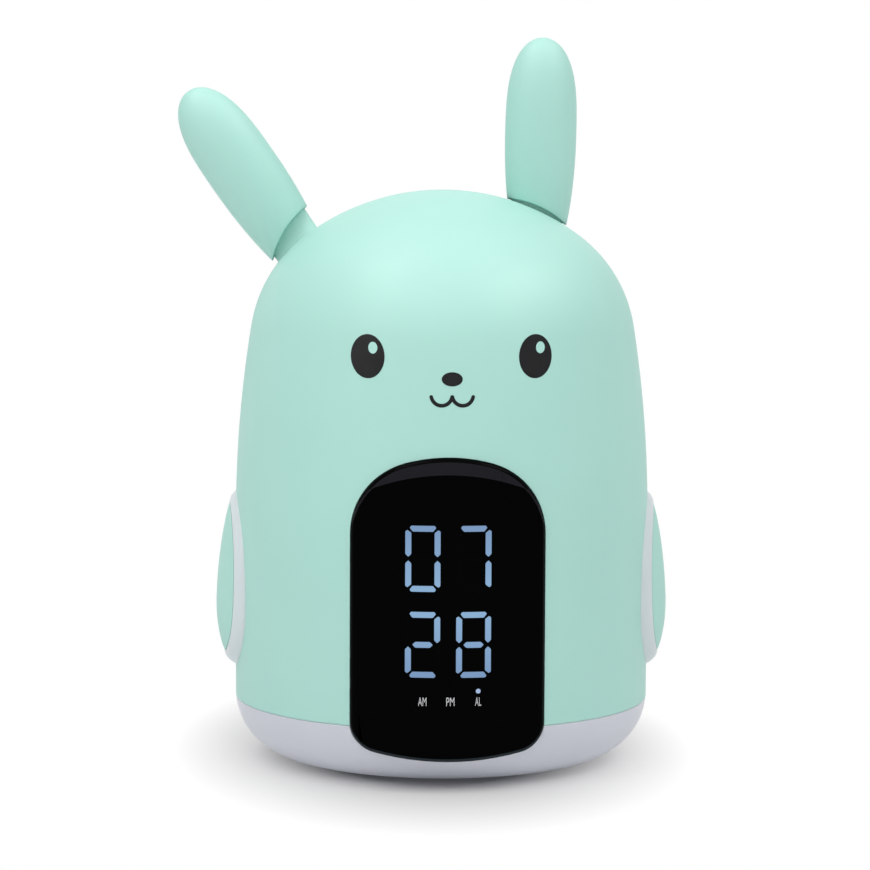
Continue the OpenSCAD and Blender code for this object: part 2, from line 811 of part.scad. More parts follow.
module display_window() {
    color(BLACK) difference() {
        intersection() {
            along_y(-body_r * 1.1, -body_r / 3) window_outline(0);
            difference() {
                cylinder(r = window_r, h = FAR);
                translate([0, 0, -1]) cylinder(r = window_r - rim_depth, h = FAR + 2);
            }
        }
        intersection() {
            along_y(-body_r * 1.1, -body_r / 4) window_outline(-rim_w);
            cylinder(r = window_back_r, h = FAR);
        }
        along_y(-body_r * 1.1, -body_r / 2) {
            segment_outlines(0);
            segment_outlines(1);
        }
    }
}

module lit_segments() {
    color(DIGIT_BLUE) segment_guides(1);
}

module unlit_segments() {
    color(DARK) segment_guides(0);
}

module display_light_box() {
    wall = 1.2;
    color(GLOW_WHITE) intersection() {
        difference() {
            translate([-light_box_w / 2, display_board_y - light_box_depth, light_box_low_z])
                cube([light_box_w, light_box_depth, light_box_high_z - light_box_low_z]);
            for (row = [0, 1], column = [0, 1])
                translate([
                    digit_mid_x + (column - 0.5) * digit_pitch,
                    display_board_y - light_box_depth - 1,
                    high_row_z - row * row_pitch
                ])
                    translate([-digit_w / 2, 0, -digit_h / 2])
                        cube([digit_w, light_box_depth + 2, digit_h]);
        }
        cylinder(r = window_back_r, h = FAR);
    }
}

module display_board() {
    margin = 3;
    color(BOARD_GREEN) translate([-light_box_w / 2 - margin, display_board_y, light_box_low_z - margin])
        cube([light_box_w + 2 * margin, board_t, light_box_high_z - light_box_low_z + 2 * margin]);
}

module display_ribbon() {
    from_y = display_board_y + board_t;
    color(METAL) translate([-ribbon_half_w, from_y, ribbon_z])
        cube([2 * ribbon_half_w, main_board_y - from_y, ribbon_t]);
}

// ---- Inner frame ----

module inner_frame() {
    color(GLOW_WHITE) difference() {
        union() {
            translate([-spine_half_w, channel_half, plate_top_z])
                cube([2 * spine_half_w, frame_t, channel_low_z - plate_top_z + EPS]);
            difference() {
                translate([-channel_x, -spine_back_y, channel_low_z])
                    cube([2 * channel_x, 2 * spine_back_y, channel_top_z - channel_low_z]);
                translate([-channel_x - 1, -channel_half, channel_low_z + frame_t])
                    cube([2 * channel_x + 2, channel_w, FAR]);
            }
            for (x = [-1, 1] * (main_board_half_w - post_inset)) {
                for (z = [main_board_low_z + post_inset, main_board_high_z - post_inset])
                    translate([x, 0, z]) bar_y(post_r, spine_back_y - EPS, main_board_y);
                for (z = [light_box_low_z, light_box_high_z])
                    translate([x, 0, z]) bar_y(post_r, display_board_y + board_t, channel_half + EPS);
            }
        }
        for (side = [-1, 1])
            translate([side * pivot_x, 0, pivot_z]) bar_y(pin_r, -FAR / 4, FAR / 4);
        translate([-ribbon_half_w - 2, channel_half - 1, ribbon_z - 3])
            cube([2 * ribbon_half_w + 4, frame_t + 2, 6]);
    }
}

// ---- Ears ----

// Half width of an ear at a height above its pivot
function ear_width(h, inset) = let (w = ear_half_w - inset)
    h > ear_wide_h
        ? w * pow(max(0, 1 - pow((h - ear_wide_h) / (ear_tip_h - inset - ear_wide_h), ear_tip_power)),
            1 / ear_tip_power)
        : w * sqrt(1 - pow((ear_wide_h - h) / ear_taper, 2));

function ear_ring(h, inset) = let (w = ear_width(h, inset), depth = (ear_half_d - inset) / (ear_half_w - inset))
    [for (i = [0 : ear_points - 1]) let (a = i * 360 / ear_points)
        [ear_shift + w * squared(cos(a), 2.2), w * depth * squared(sin(a), 2.2), h]];

// Heights of an ear's rings, closer together towards the tip
function ear_heights(low_h, inset) = let (top = ear_tip_h - inset)
    [for (i = [0 : ear_rings]) low_h + (top - low_h - 0.05) * sin(i * 90 / ear_rings)];

module ear_body(low_h, inset) {
    loft([for (h = ear_heights(low_h, inset)) ear_ring(h, inset)]);
}

module neck() {
    mid = (neck_out - neck_in) / 2;
    linear_extrude(neck_top_h) polygon([
        for (i = [0 : neck_points - 1]) let (a = i * 360 / neck_points)
            [mid + neck_w / 2 * squared(cos(a), 2.6), neck_back + neck_d / 2 * squared(sin(a), 2.6)]
    ]);
}

// The dome-like form that hollows an ear's underside
module ear_hollow() {
    translate([-pivot_x, 0, dome_cz - pivot_z]) rotate([-ear_foot_slope, 0, 0])
        translate([ear_hollow_h * sin(ear_foot_turn), 0, ear_hollow_h * cos(ear_foot_turn)])
            bar_y(ear_hollow_r, -FAR / 4, FAR / 4);
}

// Stands a right-hand ear piece at its pivot
module at_right_pivot(tilt) {
    translate([pivot_x, 0, pivot_z]) rotate([0, tilt, 0]) children();
}

module ear_shape() {
    difference() {
        translate([0, ear_back, 0]) rotate([0, ear_lean, 0]) difference() {
            ear_body(ear_low_h, 0);
            ear_body(ear_floor_h, ear_wall);
        }
        ear_hollow();
        neck();
    }
}

module lever_shape() {
    difference() {
        union() {
            bar_y(hub_r, -hub_half_y, hub_half_y);
            neck();
            along_y(neck_back - shield_half_y, neck_back + shield_half_y) difference() {
                slice(shield_r, 90 - slot_out - ear_tilt - shield_lap,
                    90 + slot_in + ear_tilt + shield_lap);
                circle(shield_r - shield_t);
            }
            along_y(-3, 3) difference() {
                slice(tail_r, 250, 320);
                for (a = [270, 270 + ear_tilt])
                    translate([tail_r * cos(a), tail_r * sin(a)]) circle(1);
            }
        }
        bar_y(pin_r + pin_fit, -FAR / 4, FAR / 4);
    }
}

module right_ear() {
    color(MINT) at_right_pivot(0) ear_shape();
}

module left_ear() {
    color(MINT) mirror([1, 0, 0]) at_right_pivot(ear_tilt) ear_shape();
}

module right_ear_lever() {
    color(MINT) at_right_pivot(0) lever_shape();
}

module left_ear_lever() {
    color(MINT) mirror([1, 0, 0]) at_right_pivot(ear_tilt) lever_shape();
}

module ear_pivot_pins() {
    head = 1;
    color(METAL) for (side = [-1, 1]) translate([side * pivot_x, 0, pivot_z]) {
        bar_y(pin_r, -spine_back_y - head, spine_back_y + head);
        bar_y(pin_r + 1.4, -spine_back_y - head, -spine_back_y);
    }
}

// A leaf spring for each ear: a foot on the channel's floor and a bump under the lever's tail
module ear_detent_springs() {
    leaf_t = 0.4;
    bump_z = pivot_z - tail_r - 0.3;
    floor_z = channel_low_z + frame_t;
    color(METAL) for (side = [-1, 1]) translate([side * pivot_x, 0, 0]) {
        translate([-8, -3, floor_z]) cube([16, 6, leaf_t]);
        translate([-8, -3, floor_z]) cube([leaf_t, 6, bump_z - floor_z - 0.6]);
        translate([-8, -3, bump_z - 1 - leaf_t]) cube([12, 6, leaf_t]);
        translate([0, 0, bump_z - 1]) bar_y(0.8, -3, 3);
    }
}

module ear_switches() {
    floor_z = channel_low_z + frame_t;
    w = 6;
    h = 5;
    color(DARK) for (side = [-1, 1]) translate([side * (pivot_x - tail_r - 2), 0, floor_z]) {
        translate([-w / 2, -w / 2, 0]) cube([w, w, h]);
        translate([-w / 6, -w / 4, h]) cube([w / 3, w / 2, w / 4]);
    }
}

// ---- Arms ----

// How far an arm's glowing ring stands proud at a height
function ring_proud(z) = ring_proud_top
    + (ring_proud_low - ring_proud_top) * (arm_mid_z + arm_up - z) / (arm_up + arm_down);

// How far a part of an arm's outline reaches from its middle, where its glowing ring has its own end width
function arm_reach(part, length, end_w) = length
    * lookup(part, [[0, 0], [arm_cap_part, 1 - end_w / length], [1, 1]]);

// A ring of points on an arm, part of the way in from its outline, at a height above the body
function arm_ring(part, lift, bulge) = [
    for (i = [0 : arm_points - 1])
        let (a = i * 360 / arm_points)
        let (y = part * arm_half_w * squared(cos(a), arm_power))
        let (reach = sin(a) > 0
            ? arm_reach(part, arm_up, arm_ring_top)
            : arm_reach(part, arm_down, arm_ring_low))
        let (z = arm_mid_z + reach * squared(sin(a), arm_power))
        [sqrt(body_r * body_r - y * y) + lift * ring_proud(z) + bulge, y, z]
];

function flat_ring(part, x) = [for (p = arm_ring(part, 0, 0)) [x, p[1], p[2]]];

// Flat-bottomed recess in an arm that takes the cap and leaves a gap around it
module arm_recess_shape() {
    loft([
        arm_ring(arm_cap_edge / 2, 1, -arm_recess),
        arm_ring(arm_cap_edge, 1, -arm_recess),
        arm_ring(arm_cap_part, 1, -arm_recess),
        arm_ring(arm_cap_part, 1, arm_recess)
    ]);
}

module arm_diffuser_shape() {
    difference() {
        loft([
            flat_ring(1, body_r * 0.8),
            arm_ring(1, 0, 0.05),
            arm_ring((1 + arm_cap_part) / 2 + 0.01, 0.62, 0),
            arm_ring(arm_cap_part + 0.02, 0.98, 0),
            arm_ring(arm_cap_part / 2, 1, 0)
        ]);
        arm_recess_shape();
        cylinder(r = body_r, h = FAR);
    }
    intersection() {
        slot_x(arm_slot_r, arm_slot_low_z, arm_slot_high_z, arm_led_x + led_h, body_r);
        cylinder(r = body_r + 0.3, h = FAR);
    }
}

module arm_cap_shape() {
    loft(concat(
        [for (part = [0.5, 1] * arm_cap_edge) arm_ring(part, 1, -arm_recess)],
        [for (k = [0 : 9]) let (part = arm_cap_edge * cos(k * 9.2))
            arm_ring(part, 1, arm_bulge * pow(1 - pow(part / arm_cap_edge, 2), 0.85))]
    ));
}

module right_arm_diffuser() {
    color(GLOW_WHITE) arm_diffuser_shape();
}

module left_arm_diffuser() {
    color(GLOW_WHITE) mirror([1, 0, 0]) arm_diffuser_shape();
}

module right_arm_cap() {
    color(MINT) arm_cap_shape();
}

module left_arm_cap() {
    color(MINT) mirror([1, 0, 0]) arm_cap_shape();
}

module arm_light_boards() {
    color(BOARD_GREEN) for (side = [0, 1]) mirror([side, 0, 0])
        slot_x(arm_slot_r, arm_slot_low_z, arm_slot_high_z, arm_board_x, arm_board_x + board_t);
}

module arm_leds() {
    mid_z = (arm_slot_low_z + arm_slot_high_z) / 2;
    color(GLOW_WHITE) for (side = [0, 1]) mirror([side, 0, 0]) for (step = [-1 : 1])
        translate([arm_led_x, -led_w / 2, mid_z + step * 7 - led_w / 2])
            cube([led_h, led_w, led_w]);
}

// ---- Electronics ----

module main_board() {
    color(BOARD_GREEN) translate([-main_board_half_w, main_board_y, main_board_low_z])
        cube([2 * main_board_half_w, board_t, main_board_high_z - main_board_low_z]);
}

module main_board_chips() {
    back_y = main_board_y + board_t;
    mid_z = (main_board_low_z + main_board_high_z) / 2;
    color(DARK) {
        translate([-chip_w / 2, back_y, mid_z + chip_w / 2]) cube([chip_w, chip_t, chip_w]);
        translate([-chip_w * 1.2, back_y, mid_z - chip_w]) cube([chip_w / 2, chip_t, chip_w / 2]);
        translate([chip_w * 0.7, back_y, mid_z - chip_w * 1.2]) cube([chip_w / 2, 2 * chip_t, chip_w / 2]);
        translate([-chip_w, 0, main_board_low_z + chip_w / 2]) bar_y(chip_w / 4, back_y, back_y + chip_w / 2);
        translate([chip_w, 0, mid_z]) bar_y(chip_w / 8, back_y, back_y + chip_w / 4);
    }
}

module light_board() {
    color(BOARD_GREEN) difference() {
        cylinder_between(light_board_outer_r, light_board_z, light_board_z + board_t);
        cylinder_between(light_board_inner_r, 0, FAR);
    }
}

module light_leds() {
    color(GLOW_WHITE) for (i = [0 : light_count - 1]) rotate((i + 0.5) * 360 / light_count)
        translate([light_board_outer_r - led_w - 2, -led_w / 2, light_board_z - led_h])
            cube([led_w, led_w, led_h]);
}

module speaker() {
    color(DARK) translate([0, speaker_front_y, speaker_z]) rotate([90, 0, 0]) difference() {
        union() {
            cylinder(r = speaker_r, h = speaker_flange_t);
            translate([0, 0, speaker_flange_t - EPS]) cylinder(r1 = speaker_r - 1.5, r2 = 11, h = 6);
            cylinder(r = 10.5, h = speaker_h);
        }
        translate([0, 0, -1]) cylinder(r1 = speaker_r - 1, r2 = 5, h = 6);
    }
}

module power_socket() {
    long = socket_long;
    wall = 0.4;
    face_y = body_r - 1;
    color(METAL) difference() {
        translate([-socket_w / 2, face_y - long, socket_z - socket_h / 2]) cube([socket_w, long, socket_h]);
        translate([-socket_w / 2 + wall, face_y - long + 1, socket_z - socket_h / 2 + wall])
            cube([socket_w - 2 * wall, long, socket_h - 2 * wall]);
        translate([-socket_w / 4, face_y - long + 1, socket_z - 0.3]) cube([socket_w / 2, long - 2, 0.6]);
    }
}

// ---- Buttons ----

module button(index) {
    x = button_x[index];
    face_y = body_y(x, button_z) + button_proud;
    back_y = collar_y(x);
    color(PALE) translate([x, 0, button_z]) {
        bar_y(button_r, back_y, face_y);
        bar_y(button_collar_r, back_y, back_y + button_collar_t);
        bar_y(button_stem_r, button_switch_y + button_travel + button_back_gap, back_y);
    }
}

module button_hour() {
    button(0);
}

module button_minute() {
    button(1);
}

module button_alarm() {
    button(2);
}

module button_light() {
    button(3);
}

module button_board() {
    half_w = button_pitch * 1.5 + 11;
    half_h = 5;
    color(BOARD_GREEN) translate([-half_w, button_board_y, button_z - half_h])
        cube([2 * half_w, board_t, 2 * half_h]);
}

module button_switches() {
    base_h = button_switch_h - 1.2;
    color(DARK) for (x = button_x) translate([x, button_board_y + board_t, button_z]) {
        translate([-3, 0, -3]) cube([6, base_h, 6]);
        bar_y(1.7, base_h - EPS, button_switch_h);
    }
}

// ---- Fasteners ----

module shell_screws() {
    color(METAL) at_shell_screws() {
        bar_y(thread_r, -screw_reach, well_floor_y);
        bar_y(head_r, well_floor_y, well_floor_y + head_t);
    }
}

module base_screws() {
    color(METAL) at_base_screws() {
        cylinder_between(thread_r, base_screw_seat_z, base_screw_high_z - thread_fit);
        cylinder_between(head_r, base_low_z + 0.1, base_screw_seat_z);
    }
}

front_shell();
rear_shell();
base_diffuser();
base_plate();
foot_pad();
battery_cap();
coin_cell();
battery_holder();
battery_contacts();
display_window();
lit_segments();
unlit_segments();
display_light_box();
display_board();
display_ribbon();
inner_frame();
left_ear();
right_ear();
left_ear_lever();
right_ear_lever();
ear_pivot_pins();
ear_detent_springs();
ear_switches();
left_arm_diffuser();
right_arm_diffuser();
left_arm_cap();
right_arm_cap();
arm_light_boards();
arm_leds();
main_board();
main_board_chips();
light_board();
light_leds();
speaker();
power_socket();
button_hour();
button_minute();
button_alarm();
button_light();
button_board();
button_switches();
shell_screws();
base_screws();
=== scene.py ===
"""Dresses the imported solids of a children's alarm clock with a night light."""

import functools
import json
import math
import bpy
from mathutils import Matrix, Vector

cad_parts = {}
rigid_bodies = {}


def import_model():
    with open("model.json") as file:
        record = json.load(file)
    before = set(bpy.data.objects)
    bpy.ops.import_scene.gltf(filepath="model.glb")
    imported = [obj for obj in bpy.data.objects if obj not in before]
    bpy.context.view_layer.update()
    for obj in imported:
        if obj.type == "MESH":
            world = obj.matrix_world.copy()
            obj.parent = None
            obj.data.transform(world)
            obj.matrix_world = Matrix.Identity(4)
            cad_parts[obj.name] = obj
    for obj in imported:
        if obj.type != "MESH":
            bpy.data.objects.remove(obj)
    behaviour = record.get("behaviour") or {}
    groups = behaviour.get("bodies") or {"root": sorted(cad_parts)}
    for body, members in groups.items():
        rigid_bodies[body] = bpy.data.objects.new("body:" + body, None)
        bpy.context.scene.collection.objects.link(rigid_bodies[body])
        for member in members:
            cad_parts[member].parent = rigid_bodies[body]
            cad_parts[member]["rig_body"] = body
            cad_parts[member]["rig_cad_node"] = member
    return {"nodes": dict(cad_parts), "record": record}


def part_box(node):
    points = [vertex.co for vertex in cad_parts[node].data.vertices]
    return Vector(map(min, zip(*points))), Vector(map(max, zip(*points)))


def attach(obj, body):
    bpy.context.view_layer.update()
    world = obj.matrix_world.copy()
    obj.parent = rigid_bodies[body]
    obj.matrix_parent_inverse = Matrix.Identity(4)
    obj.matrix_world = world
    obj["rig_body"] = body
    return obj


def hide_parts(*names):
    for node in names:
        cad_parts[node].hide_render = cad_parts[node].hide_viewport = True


bl_info = {
    "name": "Children's Alarm Clock",
    "version": (1, 0, 0),
    "blender": (4, 5, 0),
    "location": "3D View > Sidebar > Clock",
    "description": "Adds a domed alarm clock with tilting ears, glowing arms and a night light base",
    "category": "Add Mesh",
}

import bpy
from bpy.props import FloatProperty, FloatVectorProperty, IntProperty, PointerProperty
from mathutils import Matrix, Vector

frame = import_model()

MM = 0.001
INK = 0.03 * MM
SHEET = 0.3 * MM
HOUSING = "housing"
LEFT_EAR = "left_ear_unit"
RIGHT_EAR = "right_ear_unit"
BODY_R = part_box("front_shell")[1].x


# ---- Sizes and colours ----


def size(words, default, least=0.0):
    return FloatProperty(description=words, default=default * MM, min=least * MM, unit="LENGTH")


def turn(words, default):
    return FloatProperty(description=words, default=math.radians(default), subtype="ANGLE")


def number(words, default, **limits):
    return FloatProperty(description=words, default=default, **limits)


def colour(words, default):
    return FloatVectorProperty(description=words, default=default, subtype="COLOR", min=0.0, max=1.0)


class ClockBody(bpy.types.PropertyGroup):
    """The round body, its glowing base and what is underneath"""

    wall_top: size("Height at which the upright wall starts to lean in", 64.5)
    side_arc: size("Radius of the leaning side wall", 320)
    side_bend: turn("Angle through which the side wall leans in", 9.24)
    shoulder_arc: size("Radius of the rounded shoulder", 36.8)
    dome_bend: turn("Angle at which the shoulder meets the dome", 52.5)
    wall: size("Thickness of the mint shells", 2.2)
    edge: size("Rounding of the shells' lower edge", 0.45)
    seam: size("Height of the seam between base and shells", 16.4)
    base_low: size("Height of the base's flat underside", 0.8)
    base_flat: size("Radius of the base's flat underside", 38)
    base_wall: size("Thickness of the glowing base", 2.4)
    spigot: size("Height of the spigot that holds the base", 4)
    plate: size("Radius of the opening that the base plate fills", 33)
    foot: size("Radius of the rubber foot pad", 30)
    cap: size("Radius of the battery cap", 12.5)
    cap_forward: size("Distance of the battery cap in front of the axis", 15)


class ClockDisplay(bpy.types.PropertyGroup):
    """The black panel and what shows on it"""

    half_w: size("Half the width of the panel", 25)
    low: size("Lowest point of the panel", 8)
    high: size("Highest point of the panel", 86.6)
    top_arc: size("Radius of the panel's arched top", 40)
    corner: size("Radius of the panel's upper corners", 19.3)
    low_arc: size("Radius of the panel's shallow lower edge", 90)
    foot: size("Radius of the panel's lower corners", 7.5)
    proud: size("How far the panel stands out of the body", 0.9)
    fit: size("Gap around the panel", 0.15)
    roll: size("Width of the panel's rolled edge", 1.1)
    facet: size("Height of the facet under the panel's top edge", 4.2)
    facet_arc: size("Radius of the facet's lower edge", 51.8)
    facet_slope: number("How steeply the facet falls back", 0.15, min=0)
    digit_w: size("Width of a digit", 8.97)
    digit_h: size("Height of a digit", 17.03)
    stroke: size("Width of a segment", 1.52)
    point_gap: size("Distance of a side segment's point from the digit's middle", 0.45)
    corner_gap: size("Distance of a segment's mitred end from the digit's corner", 1.1)
    digit_pitch: size("Distance between the digits of a row", 13.07)
    row_pitch: size("Distance between the rows", 22.23)
    low_row: size("Height of the lower row's middle", 38.63)
    digits_x: size("Sideways place of the digits' middle", -0.05, -5)
    dot: size("Radius of the alarm light", 0.62)
    dot_z: size("Height of the alarm light", 26.6)
    label_z: size("Height of the middle of the three labels", 23.9)
    label_h: size("Height of a label's letters", 2.2)


class ClockEars(bpy.types.PropertyGroup):
    """The two ears and their pivots"""

    pivot_x: size("Distance of a pivot from the middle", 23.2)
    pivot_depth: size("Depth of a pivot under the dome", 30)
    back: size("How far the ears stand behind the middle of the body", 6)
    tilt: turn("Tilt of the ear that rests outward", 33.8)
    lean: turn("Outward lean of an upright ear", 1.1)
    tip: size("Height of an ear's tip above its pivot", 74.9)
    wide: size("Height of an ear's widest place above its pivot", 48.6)
    half_w: size("Half the greatest width of an ear", 9.5)
    half_d: size("Half the greatest depth of an ear", 7.5)
    shift: size("Sideways offset of an ear from its pivot", 1.95)
    taper: size("Length over which an ear's lower part narrows", 38)
    gap: size("Gap between an ear's lower rim and the dome", 0.25)
    hollow: size("Radius of the hollow that an ear's underside follows", 30)
    rim: size("Rounding of an ear's lower rim", 0.25)
    tip_power: number("Bluntness of an ear's tip", 3.2, min=2)
    neck: size("How far the necks stand behind the middle of the body", 5.5)
    slot: size("Width of the slots in the dome", 7)
    slot_in: turn("How far a slot reaches inward of an upright neck", 13.4)
    slot_out: turn("How far a slot reaches outward of a tilted neck", 23)


class ClockArms(bpy.types.PropertyGroup):
    """The glowing arms at the sides"""

    mid: size("Height of an arm's widest place", 43)
    up: size("Length of an arm above its widest place", 28.3)
    down: size("Length of an arm below its widest place", 18.05)
    half_w: size("Half the greatest width of an arm", 17.1)
    ring: size("Width of the glowing ring at the arm's sides", 2.75)
    ring_top: size("Width of the ring at the arm's upper end", 2.4)
    ring_low: size("Width of the ring at the arm's lower end", 3.4)
    gap: size("Gap between the cap and the ring", 0.3)
    proud_top: size("How far the ring stands out at its top", 1.5)
    proud_low: size("How far the ring stands out at its bottom", 3.1)
    bulge: size("How far the cap bulges out of the ring", 2.7)
    recess: size("Depth of the recess that holds the cap", 1.2)


class ClockRear(bpy.types.PropertyGroup):
    """Buttons, screws, sound holes and socket at the back"""

    button_z: size("Height of the row of buttons", 92)
    button_pitch: size("Distance between buttons", 13)
    button: size("Radius of a button", 4)
    button_gap: size("Clearance around a button", 0.3)
    dish: size("Depth of the hollow in a button's face", 0.35)
    speaker_z: size("Height of the loudspeaker's middle", 48)
    hole: size("Radius of a sound hole", 1.1)
    hole_pitch: size("Distance between sound holes", 4.2)
    hole_rings: IntProperty(description="Rings of sound holes round the middle one", default=3)
    screw_head: size("Radius of a screw's head", 2.3)
    screw_inset: size("How far the lower screws are inside the body's side", 19)
    well_floor: size("Depth at which the shell screws' heads sit", 6)
    boss: size("Radius of the bosses that hold the shell screws", 3.6)


class ClockColours(bpy.types.PropertyGroup):
    """Colours of the clock's finishes"""

    mint: colour("Body, ears and arm caps", (0.405, 0.714, 0.636))
    base: colour("Milky plastic of the base", (0.575, 0.585, 0.655))
    ring: colour("Milky plastic of the arms' rings", (0.67, 0.73, 0.76))
    panel: colour("Smoked face of the display", (0.0003, 0.0003, 0.0004))
    light: colour("Light of the lit segments", (0.25, 0.415, 0.62))
    label: colour("Ink of the labels", (0.56, 0.57, 0.58))
    ink: colour("Black ink of the printed face", (0.008, 0.008, 0.009))


class ClockSettings(bpy.types.PropertyGroup):
    """Everything that can be set on the clock"""

    body: PointerProperty(type=ClockBody)
    display: PointerProperty(type=ClockDisplay)
    ears: PointerProperty(type=ClockEars)
    arms: PointerProperty(type=ClockArms)
    rear: PointerProperty(type=ClockRear)
    colours: PointerProperty(type=ClockColours)


def settings():
    return bpy.context.scene.clock


# ---- Modelling by hand ----


def only(obj):
    """Select one object and nothing else."""
    bpy.ops.object.select_all(action="DESELECT")
    obj.select_set(True)
    bpy.context.view_layer.objects.active = obj


def edit(obj):
    """Open an object's whole mesh for editing."""
    only(obj)
    bpy.ops.object.mode_set(mode="EDIT")
    bpy.ops.mesh.select_all(action="SELECT")


def close():
    bpy.ops.object.mode_set(mode="OBJECT")


def clean(obj, outward=True):
    """Merge doubles and turn the faces outward."""
    edit(obj)
    bpy.ops.mesh.remove_doubles(threshold=MM / 500)
    bpy.ops.mesh.dissolve_degenerate(threshold=MM / 1000)
    if outward:
        bpy.ops.mesh.select_all(action="SELECT")
        bpy.ops.mesh.normals_make_consistent(inside=False)
    close()
    return obj


def chain(name, points, closed=False):
    """Run a line of edges through the points, and fill it if it is closed."""
    points = [Vector(p) for p in points]
    bpy.ops.object.select_all(action="DESELECT")
    bpy.ops.mesh.primitive_plane_add(size=MM)
    obj = bpy.context.object
    obj.name = obj.data.name = name
    bpy.ops.object.mode_set(mode="EDIT")
    bpy.ops.mesh.merge(type="CENTER")
    bpy.ops.transform.translate(value=points[0])
    route = points + points[:1] if closed else points
    for here, there in zip(route, route[1:]):
        bpy.ops.mesh.extrude_region_move(TRANSFORM_OT_translate={"value": there - here})
    if closed:
        bpy.ops.mesh.select_all(action="SELECT")
        bpy.ops.mesh.remove_doubles(threshold=MM / 500)
        bpy.ops.mesh.edge_face_add()
    close()
    return obj


def thickened(obj, depth):
    """Extrude a flat mesh along Y."""
    edit(obj)
    bpy.ops.mesh.extrude_region_move(TRANSFORM_OT_translate={"value": (0, depth, 0)})
    close()
    return obj


def flat(name, outline):
    """A flat face with an outline of (x, z) points."""
    return chain(name, [(x, 0, z) for x, z in outline], closed=True)


def spun(name, profile, steps, angle=2 * math.pi, closed=False):
    """Spin an outline of (radius, height) points about the upright axis."""
    obj = chain(name, [(r, 0, z) for r, z in profile], closed)
    edit(obj)
    bpy.ops.mesh.spin(steps=steps, angle=angle, center=(0, 0, 0), axis=(0, 0, 1))
    close()
    return clean(obj)


def prism(name, outline, near, far):
    """A solid with an outline of (x, z) points, from one depth to another."""
    obj = chain(name, [(x, near, z) for x, z in outline], closed=True)
    return clean(thickened(obj, far - near))


def oval(x, z, half_w, half_h, sides=40):
    angles = [2 * math.pi * i / sides for i in range(sides)]
    return [(x + half_w * math.cos(a), z + half_h * math.sin(a)) for a in angles]


def drums(name, radius, near, far, places, sides=32):
    """Round bars along Y at several (x, z) places."""
    return [prism(name, oval(x, z, radius, radius, sides), near, far) for x, z in places]


def sliced(obj, axis, places):
    """Add edges across a mesh where planes cross it."""
    edit(obj)
    for place in places:
        point, normal = Vector(), Vector()
        point[axis], normal[axis] = place, 1
        bpy.ops.mesh.select_all(action="SELECT")
        bpy.ops.mesh.bisect(plane_co=point, plane_no=normal)
    close()
    return obj


def sliced_each_mm(obj, axis):
    low, high = (f(v.co[axis] for v in obj.data.vertices) for f in (min, max))
    return sliced(obj, axis, [i * MM for i in range(math.ceil(low / MM), math.floor(high / MM) + 1)])


def reshaped(obj, move):
    """Move each vertex to where a formula puts it."""
    for vertex in obj.data.vertices:
        vertex.co = move(vertex.co)
    return obj


def placed(obj, matrix):
    """Turn or move a mesh and leave its object at the origin."""
    only(obj)
    obj.matrix_world = matrix
    bpy.ops.object.transform_apply(location=True, rotation=True, scale=True)
    return obj


def moved(obj, x, y):
    return placed(obj, Matrix.Translation((x, y, 0)))


def use(obj, kind, **values):
    """Add a modifier and apply it."""
    only(obj)
    modifier = obj.modifiers.new(kind.title(), kind)
    for key, value in values.items():
        setattr(modifier, key, value)
    bpy.ops.object.modifier_apply(modifier=modifier.name)
    return obj


def combine(obj, other, operation):
    """Cut with, join on or keep what is shared with another solid, which is used up."""
    use(obj, "BOOLEAN", object=other, operation=operation, solver="EXACT")
    bpy.data.objects.remove(other)
    return obj


def joined(name, parts):
    """Make one object of several."""
    bpy.ops.object.select_all(action="DESELECT")
    for part in parts:
        part.select_set(True)
    bpy.context.view_layer.objects.active = parts[0]
    bpy.ops.object.join()
    parts[0].name = parts[0].data.name = name
    return parts[0]


def copied(obj, matrices):
    """Copy a piece to several places, each copy with its own mesh, and use up the first."""
    copies = []
    for matrix in matrices:
        only(obj)
        bpy.ops.object.duplicate()
        copies.append(placed(bpy.context.object, matrix))
    bpy.data.objects.remove(obj)
    return copies


def rounded(obj, width, segments, angle):
    """Round the sharp edges."""
    return use(
        obj,
        "BEVEL",
        width=width,
        segments=segments,
        limit_method="ANGLE",
        angle_limit=math.radians(angle),
        use_clamp_overlap=False,
    )


def smooth(obj, angle=32):
    only(obj)
    bpy.ops.object.shade_smooth_by_angle(angle=math.radians(angle))
    return obj


def twin(node):
    """A merged, smooth copy of one of the solids, shown in its place."""
    only(frame["nodes"][node])
    bpy.ops.object.duplicate()
    obj = bpy.context.object
    obj.name = obj.data.name = node + "_skin"
    obj.parent = None
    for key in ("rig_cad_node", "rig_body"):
        if key in obj:
            del obj[key]
    clean(obj, outward=False)
    smooth(obj)
    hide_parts(node)
    return obj


def finish(obj, body, slot, *nodes):
    """Give a piece its finish, its body and the solids that it stands for."""
    obj.data.materials.clear()
    obj.data.materials.append(FINISHES[slot]())
    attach(obj, body)
    if nodes:
        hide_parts(*nodes)
    return obj


def arc(cx, cz, r, start, end, steps, first=0):
    """Points along an arc, with its angles in radians."""
    angles = [start + (end - start) * i / steps for i in range(first, steps + 1)]
    return [(cx + r * math.cos(a), cz + r * math.sin(a)) for a in angles]


def mirrored(right):
    """A whole outline from its right half."""
    return right + [(-x, z) for x, z in reversed(right)]


def rounded_corner(r, x, z, end=0.0):
    """The lower right corner of an outline, rounded, or another corner by the direction of its end."""
    return arc(x, z, r, end - math.pi / 2, end, 4)


# ---- Shapes that several pieces share ----


